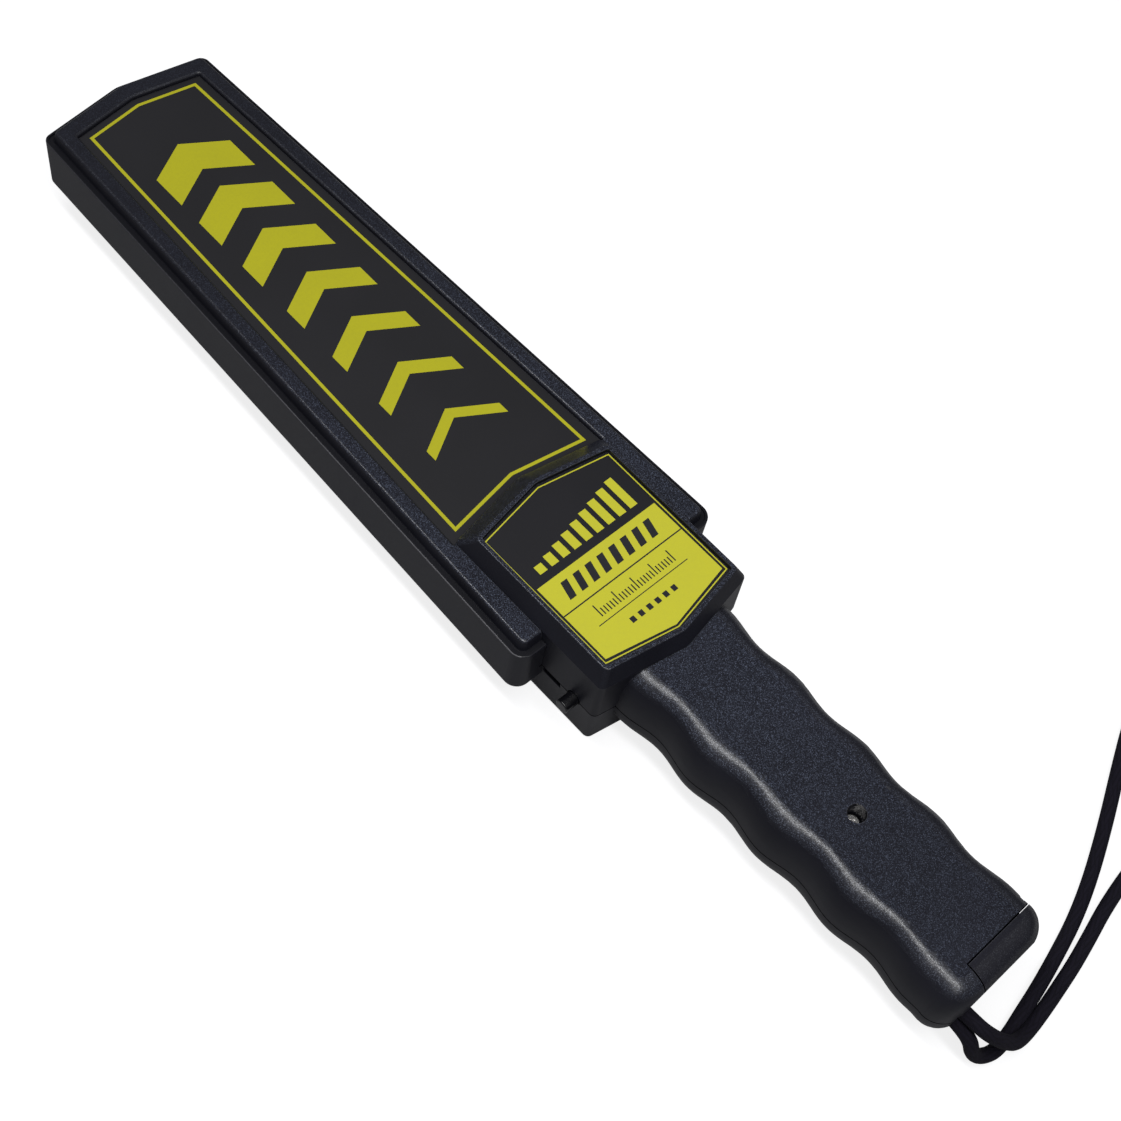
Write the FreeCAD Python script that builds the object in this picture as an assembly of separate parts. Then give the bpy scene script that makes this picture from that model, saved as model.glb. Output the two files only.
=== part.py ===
"""Handheld metal detector: a flat search head, a control box over its neck and a finger-grip handle.

Millimetres. X runs along the detector, from the tip of the head at -X to the end of the handle
at +X. Y runs across it and Z points out of the labelled face. The origin is at the middle of the
length, on the centreline, in the plane of the box's underside, which is the lowest plane.

Places along the detector are written as distances from the tip, in names that end in _D.
"""

import FreeCAD
import Part
import math
import os

Vec = FreeCAD.Vector

# Whole object
LENGTH = 420.0
TIP_X = -LENGTH / 2
OVERRUN = 1.0

# Heights
BOX_FLOOR_Z = 0.0
HANDLE_FLOOR_Z = 8.5
HEAD_FLOOR_Z = 14.5
PART_Z = 21.8
SHELF_Z = 32.0
LEDGE_Z = 34.5
LIP_Z = 34.9
RECESS_Z = 36.9
BEAD_Z = 38.6
HANDLE_TOP_Z = 38.6
BOX_RECESS_Z = 43.2
RIM_Z = 45.0

# Search head, seen from above
HEAD_LEN = 260.5
TIP_CHEVRON = 5.3
HEAD_TIP_HALF_W = 34.1
HEAD_REAR_HALF_W = 41.9
TIP_APEX_R = 10.0
TIP_CORNER_R = 3.5
REAR_CORNER_R = 5.0
MIN_R = 0.6

# Walls and fits
WALL = 2.2
LIP_WALL = 1.0
FIT = 0.15
SHOW_GAP = 0.2
CLEAR = 0.3

# Front panel of the head
BEAD_FOOT_IN = 2.4
BEAD_TOP_IN = 3.2
BEAD_TIP_IN = 3.4
RECESS_SIDE_IN = 8.8
RECESS_TIP_IN = 10.2
PANEL_UNDER_Z = 34.4
PANEL_RIB_IN = 6.0
BEAD_ROUND = 1.1
BEAD_CORNER_R = 1.9
LIP_ROUND = 0.4
HEAD_EDGE_ROUND = 1.4
FILM_T = 0.3
FILM_GAP = 0.25

# Control box
BOX_OVER_HEAD = 42.5
BOX_RIM_LEN = 68.4
BOX_CHEVRON = 5.0
BOX_BELT_AHEAD = 5.8
BOX_PART_AHEAD = 5.4
BOX_BASE_AHEAD = 3.4
BOX_BELT_BEHIND = 2.8
BOX_PART_BEHIND = 3.2
BOX_BASE_BEHIND = 0.8
BOX_RIM_FRONT_D = HEAD_LEN - BOX_OVER_HEAD
BOX_BELT_FRONT_D = BOX_RIM_FRONT_D - BOX_BELT_AHEAD
BOX_PART_FRONT_D = BOX_RIM_FRONT_D - BOX_PART_AHEAD
BOX_BASE_FRONT_D = BOX_RIM_FRONT_D - BOX_BASE_AHEAD
BOX_RIM_REAR_D = BOX_RIM_FRONT_D + BOX_RIM_LEN
BOX_BELT_REAR_D = BOX_RIM_REAR_D + BOX_BELT_BEHIND
BOX_PART_REAR_D = BOX_RIM_REAR_D + BOX_PART_BEHIND
BOX_BASE_REAR_D = BOX_RIM_REAR_D + BOX_BASE_BEHIND
BOX_RIM_HALF_W = 28.2
BOX_BELT_HALF_W = 31.4
BOX_PART_HALF_W = 31.6
BOX_BASE_HALF_W = 28.6
BOX_BELT_Z = 39.2
BOX_CORNER_R = 2.2
BOX_APEX_R = 6.0
BOX_RIM_W = 1.4
BOX_RIM_ROUND = 0.5
BOX_BASE_ROUND = 0.8
BOX_CEILING_Z = 41.2

# Handle
HANDLE_END_RUN = 8.0
HANDLE_START_D = BOX_BASE_REAR_D - BOX_CHEVRON
HANDLE_STRAIGHT_END_D = LENGTH - HANDLE_END_RUN
HANDLE_FLAT_HALF_W = 11.0
HANDLE_FRONT_HALF_W = 23.6
HANDLE_END_HALF_W = 22.7
GROOVE_DEPTH = 2.3
GROOVE_PITCH = 29.4
GROOVE_COUNT = 4
RIDGE_AFTER_START = 5.4
FIRST_RIDGE_D = HANDLE_START_D + RIDGE_AFTER_START
LAST_RIDGE_D = FIRST_RIDGE_D + GROOVE_COUNT * GROOVE_PITCH
STATIONS_PER_GROOVE = 6
TOP_CORNER_POWER = 2.9
FLOOR_CORNER_POWER = 2.4
INNER_CORNER_POWER = 3.2
END_ROUND_Y = 6.5
END_ROUND_TOP = 4.5
END_ROUND_FLOOR = 3.0
CORNER_POINTS = 7
END_TURN = math.radians(74)

# Battery cover and the seam round it
SEAM_BEFORE_END = 0.7
SEAM_D = HANDLE_STRAIGHT_END_D - SEAM_BEFORE_END
SEAM_Y = -9.5
COVER_WALL = 2.4
TONGUE_T = 1.8
TONGUE_LEN = 2.7
TONGUE_GAP = 0.4
HOOK_H = 1.0
HOOK_T = 1.3

# Battery, nine volt block
BATTERY_LEN = 46.4
BATTERY_W = 26.5
BATTERY_T = 17.5
BATTERY_END_GAP = 0.6
BATTERY_Y = 4.1
BATTERY_Z = 14.7
BATTERY_ROUND = 1.5
STUD_H = 2.1
STUD_R = 2.9
SOCKET_R = 4.0
STUD_PITCH = 12.7
SNAP_T = 3.8
SNAP_W = 26.0
SNAP_H = 13.0
SNAP_ROUND = 1.0
BATTERY_RIB_T = 2.0
BATTERY_RIB_1_D = 376.0
BATTERY_RIB_2_D = 398.0

# Screws and their bosses
SCREW_R = 1.45
SCREW_HOLE_R = 1.6
SCREW_HEAD_R = 2.8
SCREW_HEAD_H = 2.0
SCREW_HEAD_ROUND = 0.6
SCREW_SLOT_W = 0.8
SCREW_SLOT_DEEP = 0.9
RECESS_R = 3.05
BOSS_R = 4.5
BOSS_PILOT_R = 3.5
BOSS_SEAT_T = 2.0
HANDLE_SCREW_D = 360.0
HANDLE_BOSS_SPLIT_Z = 28.3
HANDLE_SCREW_TIP_Z = 16.0
BOX_SCREW_D = 277.0
BOX_SCREW_Y = 12.0
BOX_SCREW_SEAT_Z = 3.0
BOX_SCREW_TIP_Z = 22.0
TIP_SCREW_D = 28.0
TIP_SCREW_Y = 13.0
TIP_SCREW_SEAT_Z = 17.4
TIP_BOSS_SPLIT_Z = 19.6
TIP_SCREW_TIP_Z = 28.0

# Circuit board and what stands on it
BOARD_Z = 10.9
BOARD_T = 1.6
BOARD_IN = 3.4
POST_R = 2.5
POST_D = 224.0
POST_Y = 18.0
CHIP_D = 247.0
CHIP_Y = -4.0
CHIP_L = 19.0
CHIP_W = 6.4
CHIP_T = 3.4
CHIP_PITCH = 12.0
CHIP_COUNT = 2
CAP_R = 2.5
CAP_H = 7.0
CAP_D = 236.0
CAP_Y = -14.0
CAP_PITCH = 8.0
CAP_COUNT = 3
HEADER_L = 5.0
HEADER_W = 9.0
HEADER_H = 5.0
COIL_HEADER_D = 226.5
BATTERY_HEADER_D = 274.0
BATTERY_HEADER_Y = 0.0
TRIM_D = 232.0
TRIM_Y = 11.0
TRIM_W = 6.8
TRIM_H = 4.6
TRIM_ROTOR_R = 2.2
TRIM_ROTOR_H = 1.6
TRIM_POCKET = 0.9
TRIM_SLOT_W = 0.7
TRIM_SLOT_DEEP = 0.5
RUN_FIT = 0.08

# Buzzer behind its grille
BUZZER_D = 243.0
BUZZER_R = 13.5
BUZZER_H = 6.4
BUZZER_HUB_R = 5.0
BUZZER_HUB_H = 1.2
GRILLE_HOLE_R = 1.0
GRILLE_PITCH = 3.8
GRILLE_RINGS = 2
GRILLE_FIRST_COUNT = 6

# Slide switch at the near end of the head, on the -Y side
SWITCH_D = 265.3
SWITCH_SLOT_L = 7.6
SWITCH_SLOT_H = 3.3
SWITCH_FRONT_Y = -24.9
SWITCH_L = 9.6
SWITCH_DEEP = 4.6
SWITCH_H = 10.2
KNOB_L = 3.4
KNOB_H = 2.8
KNOB_Z = PART_Z - SWITCH_SLOT_H / 2
KNOB_FACE_Y = -30.1
KNOB_STEM_L = 1.4
KNOB_STEM_H = 1.4
KNOB_STEM_DEEP = 1.6
KNOB_TRAVEL = 1.6

# Push button on the -Y side, in the seam
BUTTON_D = 275.0
BUTTON_R = 2.45
BUTTON_FACE_Y = -36.8
BUTTON_ROUND = 0.5
BUTTON_FLANGE_R = 3.5
BUTTON_FLANGE_T = 1.0
BUTTON_FLANGE_Y = -28.5
BUTTON_STEM_R = 1.3
BUTTON_STEM_END_Y = -21.8
BUTTON_TRAVEL = 1.0
TACT_FRONT_Y = -24.2
TACT_L = 6.4
TACT_DEEP = 5.4
TACT_OVER_STEM = 1.9

# Jack on the +Y side
JACK_D = 266.0
JACK_Z = 15.5
JACK_L = 8.0
JACK_H = 6.0
JACK_INNER_Y = 14.4
JACK_BODY_Y = 27.2
JACK_FACE_Y = 30.2
JACK_BARREL_R = 2.8
JACK_BORE_R = 1.8
JACK_BORE_DEEP = 14.0

# Search coils and their former, inside the head
FORMER_Z = 19.0
FORMER_TOP_Z = 30.0
FORMER_IN = 5.2
FORMER_TIP_IN = 5.6
FORMER_REAR_IN = 54.5
FORMER_RING_W = 10.2
COIL_DEEP = 2.2
COIL_H = 5.0
COIL_SINK = 0.4
PAD_IN = 6.8

# Vibration motor in the handle
MOTOR_D = 300.0
MOTOR_Y = -9.0
MOTOR_Z = 14.9
MOTOR_R = 3.5
MOTOR_LEN = 16.5
MOTOR_SHAFT_R = 0.6
MOTOR_SHAFT_IN = 3.0
MOTOR_SHAFT_FIT = 0.05
WEIGHT_R = 3.2
WEIGHT_T = 3.6
WEIGHT_GAP = 0.6
CRADLE_T = 2.0
CRADLE_1_D = 302.5
CRADLE_2_D = 311.5
CRADLE_HALF_W = 4.4

# Strap, its slot and its anchor, in the end of the handle
STRAP_R = 2.35
STRAP_HIGH_Y = -13.3
STRAP_HIGH_Z = 23.4
STRAP_LOW_Y = -14.8
STRAP_LOW_Z = 18.6
STRAP_SLOT_GAP = 0.2
STRAP_WALL = 2.6
ANCHOR_L = 3.0
ANCHOR_D = SEAM_D + CLEAR
ANCHOR_STEP = 1.0
ANCHOR_ROUND = 0.5

# Leads
LEAD_R = 0.65
COIL_CABLE_R = 0.75
COIL_CABLE_DROP = 1.0
LEAD_PITCH = 3.2

# Share of the shorter run that a cord's arc may take up
BEND_SHARE = 0.45


def at(distance: float) -> float:
    """Turn a distance from the tip into an X place."""
    return TIP_X + distance


def rounded_wire(points: list, radii: list, z: float) -> Part.Wire:
    """Closed outline in a level plane, with an arc of its own radius at each corner."""
    edges = []
    count = len(points)
    starts = []
    for i in range(count):
        here = Vec(points[i][0], points[i][1], z)
        before = Vec(points[i - 1][0], points[i - 1][1], z)
        after = Vec(points[(i + 1) % count][0], points[(i + 1) % count][1], z)
        one = (before - here).normalize()
        two = (after - here).normalize()
        half = math.acos(max(-1, min(1, one.dot(two)))) / 2
        reach = radii[i] / math.tan(half)
        bisector = (one + two).normalize()
        centre = here + bisector * (radii[i] / math.sin(half))
        starts.append((here + one * reach, centre - bisector * radii[i], here + two * reach))
    for i in range(count):
        into, middle, out = starts[i]
        edges.append(Part.Arc(into, middle, out).toShape())
        edges.append(Part.LineSegment(out, starts[(i + 1) % count][0]).toShape())
    return Part.Wire(edges)


def prism(points: list, radii: list, z_low: float, z_high: float) -> Part.Shape:
    """Straight solid over an outline."""
    face = Part.Face(rounded_wire(points, radii, z_low))
    return face.extrude(Vec(0, 0, z_high - z_low))


def taper(low: tuple, z_low: float, high: tuple, z_high: float) -> Part.Shape:
    """Solid with plane, drafted walls between two outlines, each given as points and radii."""
    wires = [rounded_wire(low[0], low[1], z_low), rounded_wire(high[0], high[1], z_high)]
    return Part.makeLoft(wires, True, True)


def block(d_low: float, d_high: float, y_low: float, y_high: float, z_low: float, z_high: float) -> Part.Shape:
    """Box between two distances from the tip, two Y places and two heights."""
    return Part.makeBox(d_high - d_low, y_high - y_low, z_high - z_low, Vec(at(d_low), y_low, z_low))


def post(d: float, y: float, z_low: float, z_high: float, radius: float) -> Part.Shape:
    """Upright cylinder."""
    return Part.makeCylinder(radius, z_high - z_low, Vec(at(d), y, z_low), Vec(0, 0, 1))


def across(d: float, z: float, y_low: float, y_high: float, radius: float) -> Part.Shape:
    """Cylinder that lies along Y."""
    return Part.makeCylinder(radius, y_high - y_low, Vec(at(d), y_low, z), Vec(0, 1, 0))


def along(d_low: float, d_high: float, y: float, z: float, radius: float) -> Part.Shape:
    """Cylinder that lies along X."""
    return Part.makeCylinder(radius, d_high - d_low, Vec(at(d_low), y, z), Vec(1, 0, 0))


def edges_where(shape: Part.Shape, test) -> list:
    """Edges of a shape whose centre passes a test."""
    return [edge for edge in shape.Edges if test(edge)]


def level_edges(shape: Part.Shape, z: float) -> list:
    """Edges that lie wholly in one level plane."""
    near = MIN_R / 100
    return edges_where(shape, lambda e: abs(e.BoundBox.ZMin - z) < near and abs(e.BoundBox.ZMax - z) < near)


# Outlines seen from above


def head_outline(side_in: float, tip_in: float, rear_in: float, least_r: float = MIN_R) -> tuple:
    """Head seen from above, drawn in by a distance at its sides, tip and near end."""
    slope = (HEAD_REAR_HALF_W - HEAD_TIP_HALF_W) / (HEAD_LEN - TIP_CHEVRON)
    lean = TIP_CHEVRON / HEAD_TIP_HALF_W
    side = HEAD_TIP_HALF_W - side_in * math.hypot(1, slope)
    corner_y = (side + slope * (tip_in - TIP_CHEVRON)) / (1 - slope * lean)
    corner_d = tip_in + lean * corner_y
    rear_d = HEAD_LEN - rear_in
    rear_y = side + slope * (rear_d - TIP_CHEVRON)
    points = [
        (at(tip_in), 0),
        (at(corner_d), -corner_y),
        (at(rear_d), -rear_y),
        (at(rear_d), rear_y),
        (at(corner_d), corner_y),
    ]
    tip_r = max(TIP_CORNER_R - side_in, least_r)
    rear_r = max(REAR_CORNER_R - side_in, least_r)
    return points, [TIP_APEX_R, tip_r, rear_r, rear_r, tip_r]


def box_outline(front_d: float, rear_d: float, half_w: float, inset: float) -> tuple:
    """Six-sided plan of the control box, drawn in by an inset."""
    lean = BOX_CHEVRON / BOX_RIM_HALF_W
    step = inset * math.hypot(1, lean)
    y = half_w - inset
    front = front_d + step
    rear = rear_d - step
    points = [
        (at(front), 0),
        (at(front + lean * y), -y),
        (at(rear - lean * y), -y),
        (at(rear), 0),
        (at(rear - lean * y), y),
        (at(front + lean * y), y),
    ]
    corner = max(BOX_CORNER_R - inset, MIN_R)
    return points, [BOX_APEX_R, corner, corner, BOX_APEX_R, corner, corner]


def box_room(z_low: float, z_high: float) -> Part.Shape:
    """Block round the whole control box between two heights."""
    front, rear = BOX_BELT_FRONT_D - WALL, BOX_PART_REAR_D + WALL
    return block(front, rear, -HEAD_REAR_HALF_W, HEAD_REAR_HALF_W, z_low, z_high)


def box_upper(inset: float, z_top: float) -> Part.Shape:
    """Control box above the seam, drawn in by an inset, up to a level near its rim.

    Its walls stand nearly upright up to a belt and lean in from there to the rim.
    """
    rim = box_outline(BOX_RIM_FRONT_D, BOX_RIM_REAR_D, BOX_RIM_HALF_W, inset)
    belt = box_outline(BOX_BELT_FRONT_D, BOX_BELT_REAR_D, BOX_BELT_HALF_W, inset)
    seam = box_outline(BOX_PART_FRONT_D, BOX_PART_REAR_D, BOX_PART_HALF_W, inset)
    solid = taper(seam, PART_Z, belt, BOX_BELT_Z)
    solid = solid.fuse(taper(belt, BOX_BELT_Z, rim, RIM_Z))
    return solid.common(box_room(PART_Z, z_top))


def box_lower(inset: float, z_low: float) -> Part.Shape:
    """Control box below the seam, drawn in by an inset, from a level near its floor."""
    base = box_outline(BOX_BASE_FRONT_D, BOX_BASE_REAR_D, BOX_BASE_HALF_W, inset)
    seam = box_outline(BOX_PART_FRONT_D, BOX_PART_REAR_D, BOX_PART_HALF_W, inset)
    solid = taper(base, BOX_FLOOR_Z, seam, PART_Z)
    if inset > 0:
        solid = solid.common(box_room(z_low, PART_Z))
    return solid


# Handle


def ridge_half_w(d: float) -> float:
    """Half width over the finger ridges, which narrows a little to the end."""
    whole = LAST_RIDGE_D - FIRST_RIDGE_D
    part = (min(d, LAST_RIDGE_D) - FIRST_RIDGE_D) / whole
    return HANDLE_FRONT_HALF_W + (HANDLE_END_HALF_W - HANDLE_FRONT_HALF_W) * part


def wavy_half_w(d: float) -> float:
    """Half width with the four finger grooves."""
    if d <= FIRST_RIDGE_D or d >= LAST_RIDGE_D:
        return ridge_half_w(d)
    turn = 2 * math.pi * (d - FIRST_RIDGE_D) / GROOVE_PITCH
    return ridge_half_w(d) - GROOVE_DEPTH * (1 - math.cos(turn)) / 2


def inner_half_w(d: float) -> float:
    """Half width of the hollow, straight behind the grooves."""
    return ridge_half_w(d) - GROOVE_DEPTH - WALL


def half_section(d: float, half_w: float, flat: float, z_far: float, power: float) -> Part.Wire:
    """One half of the handle's section, from the seam to its top or its floor.

    Two rounded quarters, each a curve through points of a squared-off ellipse, join a flat.
    """
    x = at(d)
    rise = z_far - PART_Z
    reach = half_w - flat
    quarter = []
    for i in range(CORNER_POINTS):
        turn = math.pi / 2 * i / (CORNER_POINTS - 1)
        out = abs(math.cos(turn)) ** (2 / power) if i < CORNER_POINTS - 1 else 0
        up = abs(math.sin(turn)) ** (2 / power)
        quarter.append((flat + reach * out, PART_Z + rise * up))
    left = Part.BSplineCurve()
    left.interpolate(
        Points=[Vec(x, -y, z) for y, z in quarter],
        InitialTangent=Vec(0, 0, rise),
        FinalTangent=Vec(0, reach, 0),
    )
    right = Part.BSplineCurve()
    right.interpolate(
        Points=[Vec(x, y, z) for y, z in reversed(quarter)],
        InitialTangent=Vec(0, reach, 0),
        FinalTangent=Vec(0, 0, -rise),
    )
    far = Part.LineSegment(Vec(x, -flat, z_far), Vec(x, flat, z_far))
    near = Part.LineSegment(Vec(x, half_w, PART_Z), Vec(x, -half_w, PART_Z))
    return Part.Wire([left.toShape(), far.toShape(), right.toShape(), near.toShape()])


def handle_bar(z_far: float, power: float) -> Part.Shape:
    """Grooved run of the handle on one side of the seam."""
    pitch = GROOVE_PITCH / STATIONS_PER_GROOVE
    count = round((LAST_RIDGE_D - FIRST_RIDGE_D) / pitch)
    places = [HANDLE_START_D]
    places += [FIRST_RIDGE_D + pitch * i for i in range(count + 1)]
    places.append(HANDLE_STRAIGHT_END_D)
    wires = [half_section(d, wavy_half_w(d), HANDLE_FLAT_HALF_W, z_far, power) for d in places]
    return Part.makeLoft(wires, True, False)


def handle_end(z_far: float, power: float, round_z: float) -> Part.Shape:
    """Rounded end of the handle on one side of the seam."""
    wires = []
    steps = CORNER_POINTS
    for i in range(steps):
        turn = END_TURN * i / (steps - 1)
        d = HANDLE_STRAIGHT_END_D + (LENGTH - HANDLE_STRAIGHT_END_D) * math.sin(turn) / math.sin(END_TURN)
        drop = (1 - math.cos(turn)) / (1 - math.cos(END_TURN))
        sign = 1 if z_far > PART_Z else -1
        half_w = HANDLE_END_HALF_W - END_ROUND_Y * drop
        flat = HANDLE_FLAT_HALF_W - END_ROUND_Y * drop / 2
        wires.append(half_section(d, half_w, flat, z_far - sign * round_z * drop, power))
    return Part.makeLoft(wires, True, False)


def handle_hollow(z_far: float) -> Part.Shape:
    """Hollow of the handle on one side of the seam, from inside the box to the cover."""
    start = BOX_PART_REAR_D - BOX_CHEVRON - 2 * WALL
    flat = HANDLE_FLAT_HALF_W
    wires = [
        half_section(start, inner_half_w(start), flat, z_far, INNER_CORNER_POWER),
        half_section(SEAM_D, inner_half_w(SEAM_D), flat, z_far, INNER_CORNER_POWER),
    ]
    return Part.makeLoft(wires, True, False)


def tongue_levels() -> tuple:
    """Inner and outer height of the cover's upper tongue, then of its lower one."""
    upper = BATTERY_Z + BATTERY_T + TONGUE_GAP
    lower = BATTERY_Z - TONGUE_GAP
    return upper, upper + TONGUE_T, lower, lower - TONGUE_T


def tongue_path(z_low: float, z_high: float) -> Part.Shape:
    """Way out through the side wall for a tongue of the sliding cover."""
    d_low = SEAM_D - TONGUE_LEN - CLEAR
    side = HANDLE_END_HALF_W + OVERRUN
    return block(d_low, SEAM_D + OVERRUN, HANDLE_FLAT_HALF_W, side, z_low - CLEAR, z_high + CLEAR)


def cover_room(gap: float) -> Part.Shape:
    """Space that the battery cover fills at the end of the handle."""
    return block(SEAM_D + gap, LENGTH + WALL, SEAM_Y + gap, HANDLE_FRONT_HALF_W + WALL, BOX_FLOOR_Z, RIM_Z)


def strap_slot(d_low: float, d_high: float, step: float, top_gap: float) -> Part.Shape:
    """Room round both strands of the strap, taller than them by a step at its floor and top."""
    room = STRAP_R + STRAP_SLOT_GAP
    return block(
        d_low, d_high, STRAP_LOW_Y - room, STRAP_HIGH_Y + room,
        STRAP_LOW_Z - room - step, STRAP_HIGH_Z + room + step + top_gap)


def cut_strap_slot(shell: Part.Shape) -> Part.Shape:
    """Cut the strap's slot through the end wall, with room for its anchor behind."""
    shell = shell.cut(strap_slot(SEAM_D - OVERRUN, LENGTH - STRAP_WALL, ANCHOR_STEP, CLEAR))
    return shell.cut(strap_slot(LENGTH - STRAP_WALL, LENGTH + OVERRUN, 0, 0))


def recess_end_d() -> float:
    """Distance at which the sunken field of the head ends, at the corners of the box."""
    return BOX_BELT_FRONT_D + BOX_CHEVRON * BOX_BELT_HALF_W / BOX_RIM_HALF_W + CLEAR


# The two shells


def head_panel() -> Part.Shape:
    """Front panel of the head: flange on the shelf, raised bead and sunken field for the film."""
    edge = LIP_WALL + FIT
    flange_plan = head_outline(edge, edge, edge)
    flange = prism(flange_plan[0], flange_plan[1], SHELF_Z, LEDGE_Z)
    foot = head_outline(BEAD_FOOT_IN, BEAD_FOOT_IN, BEAD_FOOT_IN, BEAD_CORNER_R)
    top = head_outline(BEAD_TOP_IN, BEAD_TIP_IN, BEAD_TOP_IN, BEAD_CORNER_R)
    bead = taper(foot, LEDGE_Z, top, BEAD_Z)
    field = head_outline(RECESS_SIDE_IN, RECESS_TIP_IN, HEAD_LEN - recess_end_d())
    bead = bead.cut(prism(field[0], field[1], RECESS_Z, BEAD_Z + OVERRUN))
    bead = bead.makeFillet(BEAD_ROUND, level_edges(bead, BEAD_Z))
    panel = flange.fuse(bead)
    under = head_outline(PANEL_RIB_IN, PANEL_RIB_IN, PANEL_RIB_IN)
    panel = panel.cut(prism(under[0], under[1], SHELF_Z - OVERRUN, PANEL_UNDER_Z))
    return panel


def box_hollow_upper() -> Part.Shape:
    """Hollow of the box above the seam."""
    return box_upper(WALL, BOX_CEILING_Z)


def make_front_shell() -> Part.Shape:
    """Front half: head panel, upper box and upper handle in one moulding."""
    box = box_upper(0, RIM_Z)
    box = box.makeFillet(BOX_RIM_ROUND, level_edges(box, RIM_Z))
    inside_tub = block(0, HEAD_LEN - LIP_WALL - FIT, -HEAD_REAR_HALF_W, HEAD_REAR_HALF_W, BOX_FLOOR_Z, SHELF_Z)
    box = box.cut(inside_tub)
    handle = handle_bar(HANDLE_TOP_Z, TOP_CORNER_POWER)
    handle = handle.fuse(handle_end(HANDLE_TOP_Z, TOP_CORNER_POWER, END_ROUND_TOP))
    shell = head_panel().fuse([box, handle])

    shell = shell.cut(box_hollow_upper())
    shell = shell.cut(handle_hollow(HANDLE_TOP_Z - WALL))
    shell = shell.cut(cover_room(0))
    label = box_outline(BOX_RIM_FRONT_D, BOX_RIM_REAR_D, BOX_RIM_HALF_W, BOX_RIM_W)
    shell = shell.cut(prism(label[0], label[1], BOX_RECESS_Z, RIM_Z + OVERRUN))

    # posts that the screws bite into, and the deep recess of the handle's screw
    for y in (-BOX_SCREW_Y, BOX_SCREW_Y):
        shell = shell.fuse(post(BOX_SCREW_D, y, BOARD_Z + BOARD_T, BOX_CEILING_Z + FIT, BOSS_PILOT_R))
        shell = shell.cut(post(BOX_SCREW_D, y, BOARD_Z, BOX_SCREW_TIP_Z, SCREW_R))
    for y in (-TIP_SCREW_Y, TIP_SCREW_Y):
        shell = shell.fuse(post(TIP_SCREW_D, y, TIP_BOSS_SPLIT_Z, PANEL_UNDER_Z + FIT, BOSS_PILOT_R))
        shell = shell.cut(post(TIP_SCREW_D, y, FORMER_Z, TIP_SCREW_TIP_Z, SCREW_R))
    shell = shell.fuse(post(HANDLE_SCREW_D, 0, HANDLE_BOSS_SPLIT_Z, HANDLE_TOP_Z - WALL / 2, BOSS_R))
    seat_z = HANDLE_BOSS_SPLIT_Z + BOSS_SEAT_T
    shell = shell.cut(post(HANDLE_SCREW_D, 0, seat_z, RIM_Z, RECESS_R))
    shell = shell.cut(post(HANDLE_SCREW_D, 0, HANDLE_SCREW_TIP_Z, RIM_Z, SCREW_HOLE_R))

    # rib behind which the cover's upper tongue hooks, and the tongue's way out
    _, upper_top, _, _ = tongue_levels()
    rib_d = SEAM_D - TONGUE_LEN + HOOK_T
    rib_y = SEAM_Y + TONGUE_GAP
    rib = block(rib_d, SEAM_D, rib_y, inner_half_w(SEAM_D), upper_top + CLEAR, HANDLE_TOP_Z - WALL / 2)
    rib = rib.common(handle_bar(HANDLE_TOP_Z, TOP_CORNER_POWER))
    shell = shell.fuse(rib)
    upper, _, _, _ = tongue_levels()
    shell = shell.cut(tongue_path(upper, upper_top))
    shell = shell.cut(tongue_path(upper_top, upper_top + HOOK_H).common(
        block(rib_d - HOOK_T - CLEAR, rib_d, 0, HANDLE_FRONT_HALF_W + WALL, BOX_FLOOR_Z, RIM_Z)))

    shell = cut_strap_slot(shell)
    return shell.cut(across(BUTTON_D, PART_Z, -HEAD_REAR_HALF_W, BUTTON_FLANGE_Y, BUTTON_R + CLEAR))


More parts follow.
